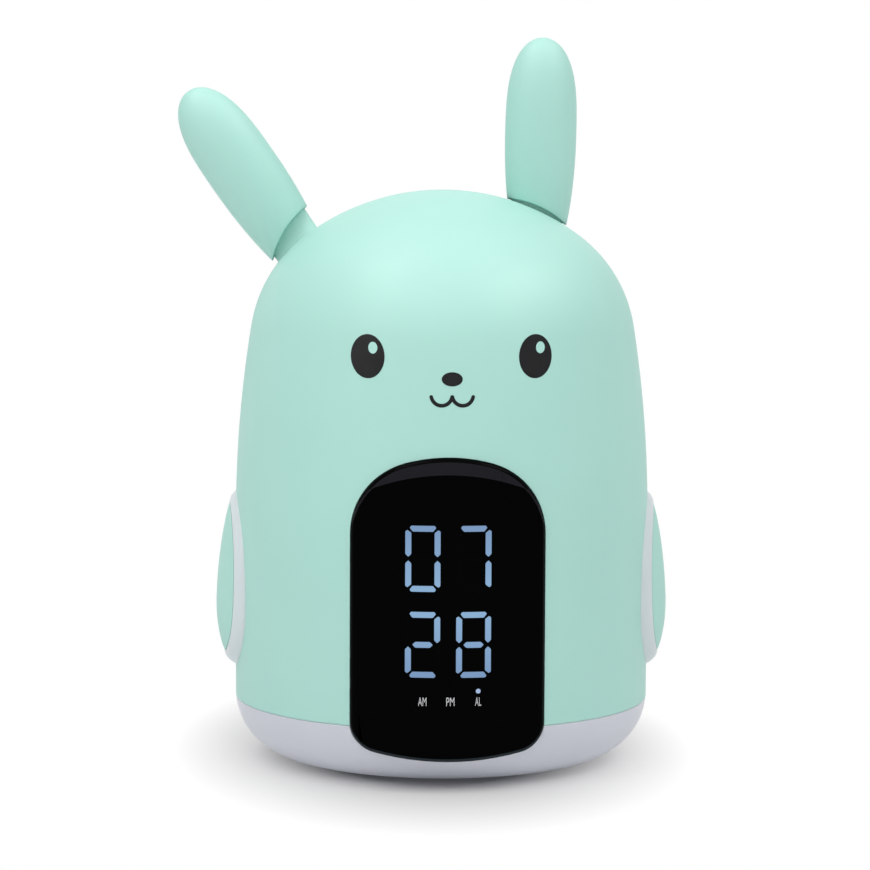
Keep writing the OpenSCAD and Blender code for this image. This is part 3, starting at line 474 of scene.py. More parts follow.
class Outline:
    """The body's outline: an upright wall, a leaning side, a round shoulder and a dome."""

    def __init__(self):
        b = self.body = settings().body
        self.side_x = BODY_R - b.side_arc
        self.shoulder_x = self.side_x + (b.side_arc - b.shoulder_arc) * math.cos(b.side_bend)
        self.shoulder_z = b.wall_top + (b.side_arc - b.shoulder_arc) * math.sin(b.side_bend)
        self.dome_r = b.shoulder_arc + self.shoulder_x / math.cos(b.dome_bend)
        self.dome_z = self.shoulder_z - self.shoulder_x * math.tan(b.dome_bend)

    def points(self, inset=0.0):
        """From the top of the upright wall to the top of the dome."""
        b = self.body
        return (
            arc(self.side_x, b.wall_top, b.side_arc - inset, 0, b.side_bend, 12)
            + arc(self.shoulder_x, self.shoulder_z, b.shoulder_arc - inset, b.side_bend, b.dome_bend, 16, 1)
            + arc(0, self.dome_z, self.dome_r - inset, b.dome_bend, math.pi / 2, 20, 1)
        )

    def radius(self, z):
        """The body's radius at a height."""
        b = self.body
        if z < b.wall_top:
            return BODY_R
        if z < self.shoulder_z + b.shoulder_arc * math.sin(b.side_bend):
            return self.side_x + math.sqrt(b.side_arc**2 - (z - b.wall_top) ** 2)
        if z < self.shoulder_z + b.shoulder_arc * math.sin(b.dome_bend):
            return self.shoulder_x + math.sqrt(b.shoulder_arc**2 - (z - self.shoulder_z) ** 2)
        return math.sqrt(max(0.0, self.dome_r**2 - (z - self.dome_z) ** 2))

    def top(self, x):
        """Height of the dome straight above a place."""
        return self.dome_z + math.sqrt(self.dome_r**2 - x * x)

    def front(self, x, z, lift=0.0):
        """Depth of the body's front, or of a surface that stands proud of it."""
        return -math.sqrt(max(0.0, (self.radius(z) + lift) ** 2 - x * x))


def window_outline(grow=0.0):
    """The display panel's outline, as (x, z) points."""
    d = settings().display
    top_z = d.high - d.top_arc
    corner_x = d.half_w - d.corner
    corner_z = top_z + math.sqrt((d.top_arc - d.corner) ** 2 - corner_x**2)
    low_z = d.low + d.low_arc
    foot_x = d.half_w - d.foot
    foot_z = low_z - math.sqrt((d.low_arc - d.foot) ** 2 - foot_x**2)
    top_turn = math.atan2(corner_z - top_z, corner_x)
    low_turn = math.atan2(low_z - foot_z, foot_x)
    right = (
        arc(0, low_z, d.low_arc + grow, -math.pi / 2, -low_turn, 6, 1)
        + arc(foot_x, foot_z, d.foot + grow, -low_turn, 0, 12, 1)
        + arc(corner_x, corner_z, d.corner + grow, 0, top_turn, 16)
        + arc(0, top_z, d.top_arc + grow, top_turn, math.pi / 2, 8, 1)
    )
    return [(0, d.low - grow)] + right + [(-x, z) for x, z in reversed(right[:-1])]


def pivot():
    """Place of the right ear's pivot."""
    e = settings().ears
    return Vector((e.pivot_x, 0, Outline().top(e.pivot_x) - e.pivot_depth))


def panel_radius():
    return BODY_R + settings().display.proud


def sheet_on_panel(obj, lift):
    """Lay a flat outline on the panel's curve as a thin solid."""
    sliced_each_mm(obj, 0)
    r = panel_radius() + lift
    thickened(obj, SHEET)
    return clean(reshaped(obj, lambda p: Vector((p.x, p.y - math.sqrt(r * r - p.x * p.x), p.z))))


# ---- Finishes ----

FINISHES = {}


def slot_finish(make):
    """Keep a function as the maker of the finish of the slot that it is named after, made once."""
    FINISHES[make.__name__] = functools.cache(lambda: make(make.__name__ + "_finish").material)
    return make


class Nodes:
    """A material's node tree around its main shader."""

    def __init__(self, name, roughness=0.4, metallic=0.0, ior=1.46, coat=0.0):
        self.material = bpy.data.materials.new(name)
        self.material.use_nodes = True
        self.tree = self.material.node_tree
        self.shader = self.tree.nodes["Principled BSDF"]
        self.set(self.shader, Roughness=roughness, Metallic=metallic, IOR=ior, **{"Coat Weight": coat})
        self.place = self.add("ShaderNodeTexCoord").outputs["Object"]

    def set(self, node, **values):
        for key, value in values.items():
            node.inputs[key].default_value = value

    def add(self, kind, **values):
        node = self.tree.nodes.new(kind)
        for key, value in values.items():
            setattr(node, key, value)
        return node

    def link(self, source, target):
        self.tree.links.new(source, target)

    def stretched(self, scale):
        """The object's coordinates, stretched by a scale along each axis."""
        mapping = self.add("ShaderNodeMapping")
        self.set(mapping, Scale=scale)
        self.link(self.place, mapping.inputs["Vector"])
        return mapping.outputs["Vector"]

    def texture(self, kind, per_metre, place=None, **values):
        node = self.add("ShaderNodeTex" + kind, **values)
        self.set(node, Scale=per_metre)
        self.link(place or self.place, node.inputs["Vector"])
        return node

    def noise(self, per_metre, detail=3.0, place=None):
        node = self.texture("Noise", per_metre, place)
        self.set(node, Detail=detail)
        return node.outputs["Fac"]

    def ranged(self, source, low, high, start=0.3, end=0.7):
        node = self.add("ShaderNodeMapRange")
        self.set(node, **{"From Min": start, "From Max": end, "To Min": low, "To Max": high})
        self.link(source, node.inputs["Value"])
        return node.outputs["Result"]

    def mixed(self, factor, first, second):
        """A colour between two, by a factor. The first may be another node's output."""
        node = self.add("ShaderNodeMix", data_type="RGBA")
        self.link(factor, node.inputs["Factor"])
        if isinstance(first, bpy.types.NodeSocket):
            self.link(first, node.inputs[6])
        else:
            node.inputs[6].default_value = (*first, 1)
        node.inputs[7].default_value = (*second, 1)
        return node.outputs[2]

    def distance(self, scale, place):
        """Distance from a place, with each axis stretched by a scale."""
        node = self.add("ShaderNodeVectorMath", operation="DISTANCE")
        self.link(self.stretched(scale), node.inputs[0])
        node.inputs[1].default_value = place
        return node.outputs["Value"]

    def coloured(self, tint, variation=0.03, per_metre=25.0):
        """The main colour, slightly uneven over the piece."""
        darker = [c * (1 - variation) for c in tint]
        lighter = [min(1.0, c * (1 + variation)) for c in tint]
        uneven = self.ranged(self.noise(per_metre, 2.0), 0, 1)
        self.link(self.mixed(uneven, darker, lighter), self.shader.inputs["Base Color"])

    def rough(self, low, high, per_metre=60.0):
        """Roughness that varies between two values."""
        self.link(self.ranged(self.noise(per_metre), low, high), self.shader.inputs["Roughness"])

    def bumped(self, *heights):
        """Bumps, each a (height source, depth, strength), stacked on each other."""
        before = None
        for source, depth, strength in heights:
            node = self.add("ShaderNodeBump")
            self.set(node, Strength=strength, Distance=depth)
            self.link(source, node.inputs["Height"])
            if before:
                self.link(before, node.inputs["Normal"])
            before = node.outputs["Normal"]
        self.link(before, self.shader.inputs["Normal"])


def moulded(name, tint, roughness, grain=900.0, depth=0.02, variation=0.03, **values):
    """Moulded plastic with a fine spark-eroded grain."""
    n = Nodes(name, roughness, **values)
    n.coloured(tint, variation)
    n.rough(roughness - 0.04, roughness + 0.04)
    n.bumped((n.noise(grain, 4.0), depth * MM, 0.25), (n.noise(40.0, 1.0), 0.05 * MM, 0.15))
    return n


def milky(name, tint, roughness, scatter):
    """Milky plastic that lets some light wander inside it."""
    n = moulded(name, tint, roughness, grain=1200.0, depth=0.01)
    n.set(n.shader, **{"Subsurface Weight": scatter, "Subsurface Scale": 3 * MM})
    n.set(n.shader, **{"Subsurface Radius": (0.9, 0.95, 1.0)})
    return n


@slot_finish
def mint_shell(name):
    return moulded(name, settings().colours.mint, 0.52, 1500.0, 0.012, 0.015, ior=1.62)


@slot_finish
def base_white(name):
    n = milky(name, settings().colours.base, 0.36, 0.25)
    # Faint emission: painted light that brightens the milky base, its shaded underside most of all; the night
    # light is not switched on.
    n.set(n.shader, **{"Emission Color": (0.9, 0.94, 1.0, 1.0), "Emission Strength": 0.055})
    return n


@slot_finish
def arm_white(name):
    return milky(name, settings().colours.ring, 0.34, 0.25)


@slot_finish
def button_white(name):
    return moulded(name, (0.70, 0.73, 0.76), 0.38)


@slot_finish
def frame_white(name):
    return moulded(name, (0.62, 0.62, 0.60), 0.5, variation=0.05)


@slot_finish
def holder_black(name):
    return moulded(name, (0.018, 0.018, 0.02), 0.5, variation=0.2)


@slot_finish
def ribbon_grey(name):
    n = moulded(name, (0.34, 0.34, 0.36), 0.5)
    wires = n.texture("Wave", 260.0, bands_direction="X")
    n.bumped((wires.outputs["Fac"], 0.15 * MM, 0.8))
    return n


@slot_finish
def rubber_grey(name):
    n = Nodes(name, 0.75, ior=1.5)
    n.coloured((0.020, 0.020, 0.022), 0.2, 80.0)
    rings = n.texture("Wave", 170.0, wave_type="RINGS", rings_direction="Z")
    n.rough(0.68, 0.82)
    n.bumped((rings.outputs["Fac"], 0.12 * MM, 0.5), (n.noise(2500.0, 4.0), 0.04 * MM, 0.5))
    return n


@slot_finish
def display_black(name):
    n = Nodes(name, 0.12, ior=1.08)
    black = settings().colours.panel
    across = n.add("ShaderNodeSeparateXYZ")
    n.link(n.add("ShaderNodeTexCoord").outputs["Normal"], across.inputs[0])
    face = n.mixed(n.ranged(n.noise(30.0), 0, 1), [c * 0.7 for c in black], [c * 1.3 for c in black])
    # Painted reflection: where the normal tilts up onto the facet under the top edge, the black is painted a
    # lighter grey in place of a softbox's reflection; higher up, on the rolled top edge, it goes back to black.
    facet = n.mixed(n.ranged(across.outputs["Z"], 0, 1, 0.09, 0.12), face, (0.0145, 0.014, 0.0175))
    edge = n.mixed(n.ranged(across.outputs["Z"], 0, 1, 0.24, 0.30), facet, black)
    # Painted reflection: the downward-facing lower rolled edge is painted a lighter blue-grey in place of the
    # floor's reflection.
    lower = n.mixed(n.ranged(across.outputs["Z"], 1, 0, -0.26, -0.12), edge, (0.023, 0.030, 0.035))
    n.link(lower, n.shader.inputs["Base Color"])
    n.rough(0.09, 0.15, 20.0)
    n.bumped((n.noise(60.0, 1.0), 0.01 * MM, 0.1))
    return n


@slot_finish
def segment_glow(name):
    n = Nodes(name, 0.15, ior=1.2)
    light = settings().colours.light
    n.coloured([c * 0.05 for c in light], 0.1)
    d = settings().display
    away = n.distance((0.25, 0, 1), (0, 0, d.low_row + d.row_pitch / 2))
    dim = [c * share for c, share in zip(light, (0.70, 0.68, 0.76))]
    digits = n.mixed(n.ranged(away, 0, 1, 0.002, 0.021), light, dim)
    dot = n.mixed(n.ranged(away, 0, 1, 0.0215, 0.022), digits, (0.36, 0.47, 0.68))
    n.link(dot, n.shader.inputs["Emission Color"])
    n.shader.inputs["Emission Strength"].default_value = 1.0
    return n


@slot_finish
def segment_dark(name):
    n = Nodes(name, 0.12, ior=1.08)
    n.coloured([c * 1.5 for c in settings().colours.panel], 0.2)
    n.rough(0.09, 0.15, 20.0)
    return n


@slot_finish
def marking_white(name):
    n = Nodes(name, 0.45)
    n.coloured(settings().colours.label, 0.06, 600.0)
    n.rough(0.4, 0.55, 900.0)
    return n


@slot_finish
def face_print(name):
    n = Nodes(name, 0.32, ior=1.28)
    n.coloured(settings().colours.ink, 0.25, 200.0)
    n.rough(0.28, 0.38, 300.0)
    n.bumped((n.noise(2500.0, 3.0), 0.004 * MM, 0.3))
    return n


@slot_finish
def board_green(name):
    n = Nodes(name, 0.32, coat=0.3)
    tracks = n.texture("Brick", 90.0, offset=0.35)
    n.set(tracks, **{"Mortar Size": 0.05, "Brick Width": 0.7, "Row Height": 0.22})
    lines = n.mixed(tracks.outputs["Fac"], (0.010, 0.085, 0.035), (0.022, 0.15, 0.06))
    n.link(lines, n.shader.inputs["Base Color"])
    n.bumped((tracks.outputs["Fac"], 0.04 * MM, 0.6), (n.noise(900.0), 0.01 * MM, 0.3))
    return n


@slot_finish
def speaker_black(name):
    n = Nodes(name, 0.6)
    n.coloured((0.013, 0.013, 0.015), 0.25, 120.0)
    n.bumped((n.noise(1400.0, 5.0), 0.05 * MM, 0.6))
    return n


@slot_finish
def led_yellow(name):
    n = Nodes(name, 0.25, coat=0.5)
    n.coloured((0.70, 0.56, 0.16), 0.1, 400.0)
    n.rough(0.18, 0.32, 400.0)
    return n


def brushed(name, tint, roughness, scale):
    """Metal with fine marks that run one way."""
    n = Nodes(name, roughness, metallic=1.0)
    marks = n.noise(1.0, 4.0, n.stretched(scale))
    n.coloured(tint, 0.06, 150.0)
    n.link(n.ranged(marks, roughness - 0.08, roughness + 0.1), n.shader.inputs["Roughness"])
    n.bumped((marks, 0.01 * MM, 0.4))
    return n


@slot_finish
def cell_steel(name):
    return brushed(name, (0.50, 0.50, 0.51), 0.28, (2500, 120, 2500))


@slot_finish
def contact_steel(name):
    return brushed(name, (0.52, 0.50, 0.45), 0.3, (300, 2500, 2500))


@slot_finish
def pin_steel(name):
    return brushed(name, (0.45, 0.46, 0.48), 0.24, (2500, 200, 2500))


@slot_finish
def screw_steel(name):
    return brushed(name, (0.24, 0.24, 0.26), 0.34, (900, 900, 300))


class Piece:
    """What the operators share: each builds its pieces."""

    def execute(self, context):
        self.build()
        return {"FINISHED"}


# ---- Body ----


def slot_wedge(side):
    """What an ear's neck sweeps out of the dome."""
    e = settings().ears
    at = pivot()
    near, far = 0.3 * e.pivot_depth, 1.7 * e.pivot_depth
    inner, outer = math.pi / 2 + e.slot_in, math.pi / 2 - e.slot_out - e.tilt
    corners = [(near, outer), (far, outer), (1.2 * far, (inner + outer) / 2), (far, inner), (near, inner)]
    outline = [(side * (at.x + r * math.cos(a)), at.z + r * math.sin(a)) for r, a in corners]
    return prism("slot", outline, e.neck - e.slot / 2, e.neck + e.slot / 2)


def body_shell(name, angle):
    """Half of the mint shell, with a rounded lower edge: the front, or the rear with a negative angle."""
    b = settings().body
    outline = Outline()
    lip = rounded_corner(b.edge, BODY_R - b.edge, b.seam + b.edge)
    profile = [(BODY_R - b.wall, b.seam)] + lip + outline.points() + outline.points(b.wall)[::-1]
    shell = spun(name, profile, 110, angle, closed=True)
    for side in (-1, 1):
        combine(shell, slot_wedge(side), "DIFFERENCE")
    return shell


def display_opening():
    return prism("opening", window_outline(settings().display.fit), -0.08, -0.02)


def shell_screw_places():
    """Places of the four shell screws, as (x, z)."""
    low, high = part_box("shell_screws")
    r = settings().rear.screw_head
    upper = (high.x - r, high.z - r)
    lower = (BODY_R - settings().rear.screw_inset, low.z + r)
    return [(side * x, z) for x, z in (upper, lower) for side in (-1, 1)]


def button_places():
    rear = settings().rear
    return [(i * rear.button_pitch, rear.button_z) for i in (-1.5, -0.5, 0.5, 1.5)]


def sound_hole_places():
    """Hexagonal rings of sound holes, as (x, z)."""
    rear = settings().rear
    places = [(0, rear.speaker_z)]
    for ring in range(1, rear.hole_rings + 1):
        places += oval(0, rear.speaker_z, ring * rear.hole_pitch, ring * rear.hole_pitch, 6 * ring)
    return places


class CLOCK_OT_shells(Piece, bpy.types.Operator):
    """Add the front and rear halves of the mint body"""

    bl_idname = "clock.shells"
    bl_label = "Body shells"

    def build(self):
        self.front()
        self.rear()

    def front(self):
        shell = body_shell("front_body", math.pi)
        combine(shell, display_opening(), "DIFFERENCE")
        finish(smooth(shell), HOUSING, "mint_shell", "front_shell")

    def rear(self):
        rear = settings().rear
        b = settings().body
        shell = body_shell("rear_body", -math.pi)
        outline = Outline()
        outside = BODY_R + 3 * MM
        screws = shell_screw_places()
        bosses = joined("bosses", drums("boss", rear.boss, 0.01 * MM, outside, screws))
        inside = spun("inside", [(0, b.seam), (BODY_R - MM, b.seam)] + outline.points(MM), 96)
        combine(bosses, inside, "INTERSECT")
        combine(shell, bosses, "UNION")
        wells = drums("well", rear.screw_head + 0.3 * MM, rear.well_floor, outside, screws)
        buttons = drums("hole", rear.button + rear.button_gap, 0.55 * BODY_R, outside, button_places())
        sounds = drums("hole", rear.hole, 0.7 * BODY_R, outside, sound_hole_places(), 16)
        cuts = joined("cuts", wells + buttons + sounds + [self.socket_opening(outside)])
        combine(shell, cuts, "DIFFERENCE")
        finish(smooth(shell), HOUSING, "mint_shell", "rear_shell")

    def socket_opening(self, outside):
        low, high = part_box("power_socket")
        gap, r = 0.15 * MM, 0.7 * MM
        x, z0, z1 = high.x + gap, low.z - gap, high.z + gap
        right = rounded_corner(r, x - r, z0 + r) + rounded_corner(r, x - r, z1 - r, math.pi / 2)
        return prism("socket", mirrored(right), 0.55 * BODY_R, outside)


class CLOCK_OT_base(Piece, bpy.types.Operator):
    """Add the glowing base, the plate under it, the foot pad and the battery cap"""

    bl_idname = "clock.base"
    bl_label = "Base"

    def build(self):
        self.bowl()
        finish(twin("base_plate"), HOUSING, "base_white")
        self.foot()
        self.cap()

    def bowl(self):
        b = settings().body
        edge = BODY_R - b.base_flat
        mid_z = b.base_low + edge
        top_turn = math.asin((b.seam - mid_z) / edge)
        root_turn = -0.31
        lip, top = 0.3 * MM, b.seam - 0.02 * MM
        lip_x = b.base_flat + edge * math.cos(top_turn) - lip
        spigot = BODY_R - b.wall - 0.2 * MM
        spigot_in = spigot - 2 * MM
        profile = (
            [(b.plate, b.base_low)]
            + arc(b.base_flat, mid_z, edge, -math.pi / 2, top_turn - lip / edge, 24)
            + [(lip_x, top), (spigot, top), (spigot, b.seam + b.spigot)]
            + [(spigot_in, b.seam + b.spigot), (spigot_in, b.seam - 3 * MM)]
            + arc(b.base_flat, mid_z, edge - b.base_wall, root_turn, -math.pi / 2, 14)
            + [(b.plate, b.base_low + b.base_wall)]
        )
        bowl = spun("base_bowl", profile, 160, closed=True)
        combine(bowl, display_opening(), "DIFFERENCE")
        wells = []
        for x, y in base_screw_places():
            bpy.ops.mesh.primitive_cylinder_add(radius=settings().rear.screw_head + 0.2 * MM, depth=4 * MM)
            wells.append(moved(bpy.context.object, x, y))
        combine(bowl, joined("wells", wells), "DIFFERENCE")
        finish(smooth(bowl), HOUSING, "base_white", "base_diffuser")

    def foot(self):
        b = settings().body
        low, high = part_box("foot_pad")
        r = 0.4 * MM
        reach = b.cap + 0.6 * MM
        side = rounded_corner(r, b.foot - r, r) + [(b.foot, high.z), (0, high.z)]
        pad = spun("rubber_foot", [(0, 0)] + side, 96)
        hole = spun("hole", [(0, -MM), (reach, -MM), (reach, 4 * MM), (0, 4 * MM)], 64)
        combine(pad, moved(hole, 0, -b.cap_forward), "DIFFERENCE")
        finish(smooth(pad), HOUSING, "rubber_grey", "foot_pad")

    def cap(self):
        b = settings().body
        low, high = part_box("battery_cap")
        r, plug = 0.5 * MM, b.cap - 2.1 * MM
        rim = low.z + 2 * MM
        side = rounded_corner(r, b.cap - r, low.z + r) + [(b.cap, rim), (plug, rim), (plug, high.z)]
        cap = spun("coin_slot_cap", [(0, low.z)] + side + [(0, high.z)], 72)
        bar, half = MM, b.cap * 0.7
        slot = prism("slot", mirrored(arc(half - bar, 0, bar, -math.pi / 2, math.pi / 2, 8)), -MM, MM)
        placed(slot, Matrix.Translation((0, 0, low.z)) @ Matrix.Rotation(math.pi / 2, 4, "X"))
        combine(cap, slot, "DIFFERENCE")
        finish(smooth(moved(cap, 0, -b.cap_forward)), "battery_door", "base_white", "battery_cap")


def base_screw_places():
    """Places of the four base screws, as (x, y)."""
    low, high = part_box("base_screws")
    reach = high.x - settings().rear.screw_head
    return [(sx * reach, sy * reach) for sx in (-1, 1) for sy in (-1, 1)]


# ---- Display ----


class CLOCK_OT_display(Piece, bpy.types.Operator):
    """Add the curved black panel with its rolled edge"""

    bl_idname = "clock.display"
    bl_label = "Display panel"

    def build(self):
        d = settings().display
        r = panel_radius()
        centre = d.high - d.facet - d.facet_arc
        panel = joined("display_panel", [flat("face", outline) for outline in self.faces(centre)])
        clean(panel)
        columns, deep = 44, 6 * MM
        sliced(panel, 0, [d.half_w * (2 * i / columns - 1) for i in range(1, columns)])
        thickened(panel, deep)

        def bend(p):
            past_facet = max(0.0, math.hypot(p.x, p.z - centre) - d.facet_arc)
            fall = d.facet_slope * past_facet if p.y < deep / 2 else 0
            return Vector((p.x, p.y + fall - math.sqrt(r * r - p.x * p.x), p.z))

        clean(reshaped(panel, bend))
        rounded(panel, d.roll, 14, 50)
        finish(smooth(panel, 7.5), HOUSING, "display_black", "display_window")

    def faces(self, centre):
        """The flat face and the facet above it, which meet along an arc."""
        reach = settings().display.facet_arc
        points = window_outline()
        above = [i for i, (x, z) in enumerate(points) if math.hypot(x, z - centre) > reach and z > centre]
        first, last = above[0], above[-1]
        ends = [math.atan2(points[i][1] - centre, points[i][0]) for i in (first, last)]
        shared = arc(0, centre, reach, *ends, 40)[1:-1]
        return points[: first + 1] + shared + points[last:], points[first : last + 1] + shared[::-1]


ZERO, SEVEN, TWO, EIGHT = (1, 1, 1, 1, 1, 1, 0), (1, 1, 1, 0, 0, 0, 0), (1, 1, 0, 1, 1, 0, 1), (1,) * 7
SHOWN = ((ZERO, SEVEN), (TWO, EIGHT))
MARK_X = (-6.6 * MM, 0.6 * MM, 7.75 * MM)
MARK_LIT = (False, False, True)
LABELS = (("AM", 2.15 * MM), ("PM", 2.1 * MM), ("AL", 1.6 * MM))


def corner_end(half, s):
    """End of a segment at a corner of its digit, mitred on the inside."""
    return [(half - s / 2, s), (half, s * 0.3), (half - s, -s)]


def middle_end(half, s):
    """End of a segment at the middle of its digit, pointed."""
    return [(half - s, s), (half, 0), (half - s, -s)]


def digit_segments():
    """The seven segments of a digit, each as its outline and where it goes."""
    d = settings().display
    s = d.stroke / 2
    dx, dz = (d.digit_w - d.stroke) / 2, (d.digit_h - d.stroke) / 2
    across = d.digit_w / 2 - d.corner_gap
    tall = (d.digit_h / 2 - d.corner_gap - d.point_gap) / 2
    side = d.point_gap + tall
    corner, end, point = corner_end(across, s), corner_end(tall, s), middle_end(tall, s)
    short = middle_end(across - s, s)
    quarter = math.pi / 2
    return [
        (corner, corner, 0, dz, 0),
        (point, end, dx, side, -quarter),
        (end, point, dx, -side, -quarter),
        (corner, corner, 0, -dz, 2 * quarter),
        (point, end, -dx, -side, quarter),
        (end, point, -dx, side, quarter),
        (short, short, 0, 0, 0),
    ]


def segment(right, left, x, z, angle):
    """A flat segment with softly rounded corners, in place on its digit."""
    outline = right + [(-px, pz) for px, pz in reversed(left)]
    c, s = math.cos(angle), math.sin(angle)
    obj = flat("segment", [(x + c * px - s * pz, z + s * px + c * pz) for px, pz in outline])
    edit(obj)
    bpy.ops.mesh.bevel(offset=0.22 * MM, segments=3, affect="VERTICES")
    close()
    return obj


class CLOCK_OT_digits(Piece, bpy.types.Operator):
    """Add the lit and unlit segments and the alarm light"""

    bl_idname = "clock.digits"
    bl_label = "Digits"

    def build(self):
        d = settings().display
        lit, unlit = [], []
        for row, digits in enumerate(SHOWN):
            for column, states in enumerate(digits):
                x = d.digits_x + (column - 0.5) * d.digit_pitch
                z = d.low_row + (1 - row) * d.row_pitch
                for state, (right, left, px, pz, angle) in zip(states, digit_segments()):
                    (lit if state else unlit).append(segment(right, left, x + px, z + pz, angle))
        for x, on in zip(MARK_X, MARK_LIT):
            (lit if on else unlit).append(flat("dot", oval(x, d.dot_z, d.dot, d.dot, 20)))
        for name, parts, slot in (("lit", lit, "segment_glow"), ("unlit", unlit, "segment_dark")):
            guides = sheet_on_panel(joined(name + "_guides", parts), INK)
            finish(guides, HOUSING, slot, name + "_segments")


class CLOCK_OT_labels(Piece, bpy.types.Operator):
    """Add the AM, PM and alarm labels under the digits"""

    bl_idname = "clock.labels"
    bl_label = "Labels"

    def build(self):
        d = settings().display
        words = []
        for x, (word, width) in zip(MARK_X, LABELS):
            bpy.ops.object.text_add()
            text = bpy.context.object
            text.data.body = word
            bpy.ops.object.convert(target="MESH")
            low, high = text.bound_box[0], text.bound_box[6]
            across, up = width / (high[0] - low[0]), d.label_h / (high[1] - low[1])
            left, foot = x - width / 2 - low[0] * across, d.label_z - d.label_h / 2 - low[1] * up
            reshaped(text, lambda p: Vector((left + p.x * across, 0, foot + p.y * up)))
            words.append(text)
        finish(sheet_on_panel(joined("labels", words), INK), HOUSING, "marking_white")


# ---- Ears ----


class EarForm:
    """An upright ear, measured from its pivot: a flattened bulb over a hollow that clears the dome."""

    def __init__(self):
        e = settings().ears
        outline = Outline()
        self.ear = e
        at = pivot()
        self.middle = Vector((at.x, 0, at.z - outline.dome_z))
        foot = e.pivot_depth - 2 * MM
        turn = math.asin((at.x + e.shift + foot * math.sin(e.lean)) / outline.dome_r)
        self.slope = Matrix.Rotation(math.asin(e.back / (outline.dome_r * math.cos(turn))), 3, "X")
        half = self.half_width(foot) / math.cos(turn)
        out = math.sqrt((outline.dome_r + e.gap) ** 2 - half**2) - math.sqrt(e.hollow**2 - half**2)
        self.axis_x, self.axis_z = out * math.sin(turn), out * math.cos(turn)

    def half_width(self, h):
        e = self.ear
        if h > e.wide:
            part = min(1.0, (h - e.wide) / (e.tip - e.wide))
            return e.half_w * math.sqrt(1 - part**e.tip_power)
        return e.half_w * math.sqrt(1 - ((e.wide - h) / e.taper) ** 2)

    def point(self, part, angle, h):
        """A point at a share of the ear's width, a direction and a height."""
        e = self.ear
        w = part * self.half_width(h)
        on_axis = Vector((e.shift + w * math.cos(angle), w * math.sin(angle) * e.half_d / e.half_w, h))
        return Matrix.Rotation(e.lean, 3, "Y") @ on_axis + Vector((0, e.back, 0))

    def over_hollow(self, point):
        """How far a point is outside the hollow under the ear."""
        p = self.slope @ (point + self.middle)
        return math.hypot(p.x - self.axis_x, p.z - self.axis_z) - self.ear.hollow

    def floor(self, part, angle):
        """Height at which the ear meets its hollow."""
        low, high = 18 * MM, self.ear.wide
        for _ in range(24):
            mid = (low + high) / 2
            if self.over_hollow(self.point(part, angle, mid)) < 0:
                low = mid
            else:
                high = mid
        return low


def ear():
    """An upright ear at its pivot, with a rounded lower rim."""
    form = EarForm()
    unit = 10 * MM
    rings = 44
    sides = [(unit, unit * math.sin(i * math.pi / 2 / rings)) for i in range(rings + 1)]
    floor = [(part * unit, 0) for part in (0, 0.3, 0.6, 0.85)]
    obj = spun("ear", floor + sides + [(0, unit)], 80)

    def lay(p):
        part, angle, up = math.hypot(p.x, p.y) / unit, math.atan2(p.y, p.x), p.z / unit
        h = form.floor(part if up < 0.001 else 1, angle)
        return form.point(part, angle, h + (form.ear.tip - h) * up)

    return rounded(clean(reshaped(obj, lay)), form.ear.rim, 3, 60)


class CLOCK_OT_ears(Piece, bpy.types.Operator):
    """Add the two ears and the necks that they turn on"""

    bl_idname = "clock.ears"
    bl_label = "Ears"

    def build(self):
        tilt = settings().ears.tilt
        at = Matrix.Translation(pivot())
        mirror = Matrix.Scale(-1, 4, (1, 0, 0))
        right, left = copied(ear(), [at, mirror @ at @ Matrix.Rotation(tilt, 4, "Y")])
        right.name, left.name = "ear_right", "ear_left"
        for obj, body, side in ((right, RIGHT_EAR, "right"), (left, LEFT_EAR, "left")):
            finish(smooth(clean(obj), 50), body, "mint_shell", side + "_ear")
            finish(smooth(twin(side + "_ear_lever"), 60), body, "mint_shell")


# ---- Arms ----


def arm_surface(name, profile, mirror):
    """A spun outline of (share of the arm, height) laid on the body's side as an egg-shaped piece."""
    a = settings().arms
    r = BODY_R
    unit = 0.02
    power = 2.3
    inside = 1 - a.ring / a.half_w
    obj = spun(name, [(part * unit, height) for part, height in profile], 96)

    def squared(wave):
        return math.copysign(abs(wave) ** (2 / power), wave)

    def lay(p):
        part, angle = math.hypot(p.x, p.y) / unit, math.atan2(p.y, p.x)
        y = part * a.half_w * squared(math.cos(angle))
        length, end = (a.up, a.ring_top) if p.y > 0 else (a.down, a.ring_low)
        across_ring = (1 - part) / (1 - inside)
        reach = (length - end) * part / inside if part < inside else length - end * across_ring
        z = a.mid + reach * squared(math.sin(angle))
        proud = a.proud_top + (a.proud_low - a.proud_top) * (a.mid + a.up - z) / (a.up + a.down)
        rise = min(1.0, max(0.0, across_ring))
        lift = proud * math.sin(rise * math.pi / 2) ** 0.8
        x = math.sqrt(r * r - y * y) + lift + p.z
        return Vector((-x if mirror else x, y, z))

    return smooth(clean(reshaped(obj, lay)), 50)


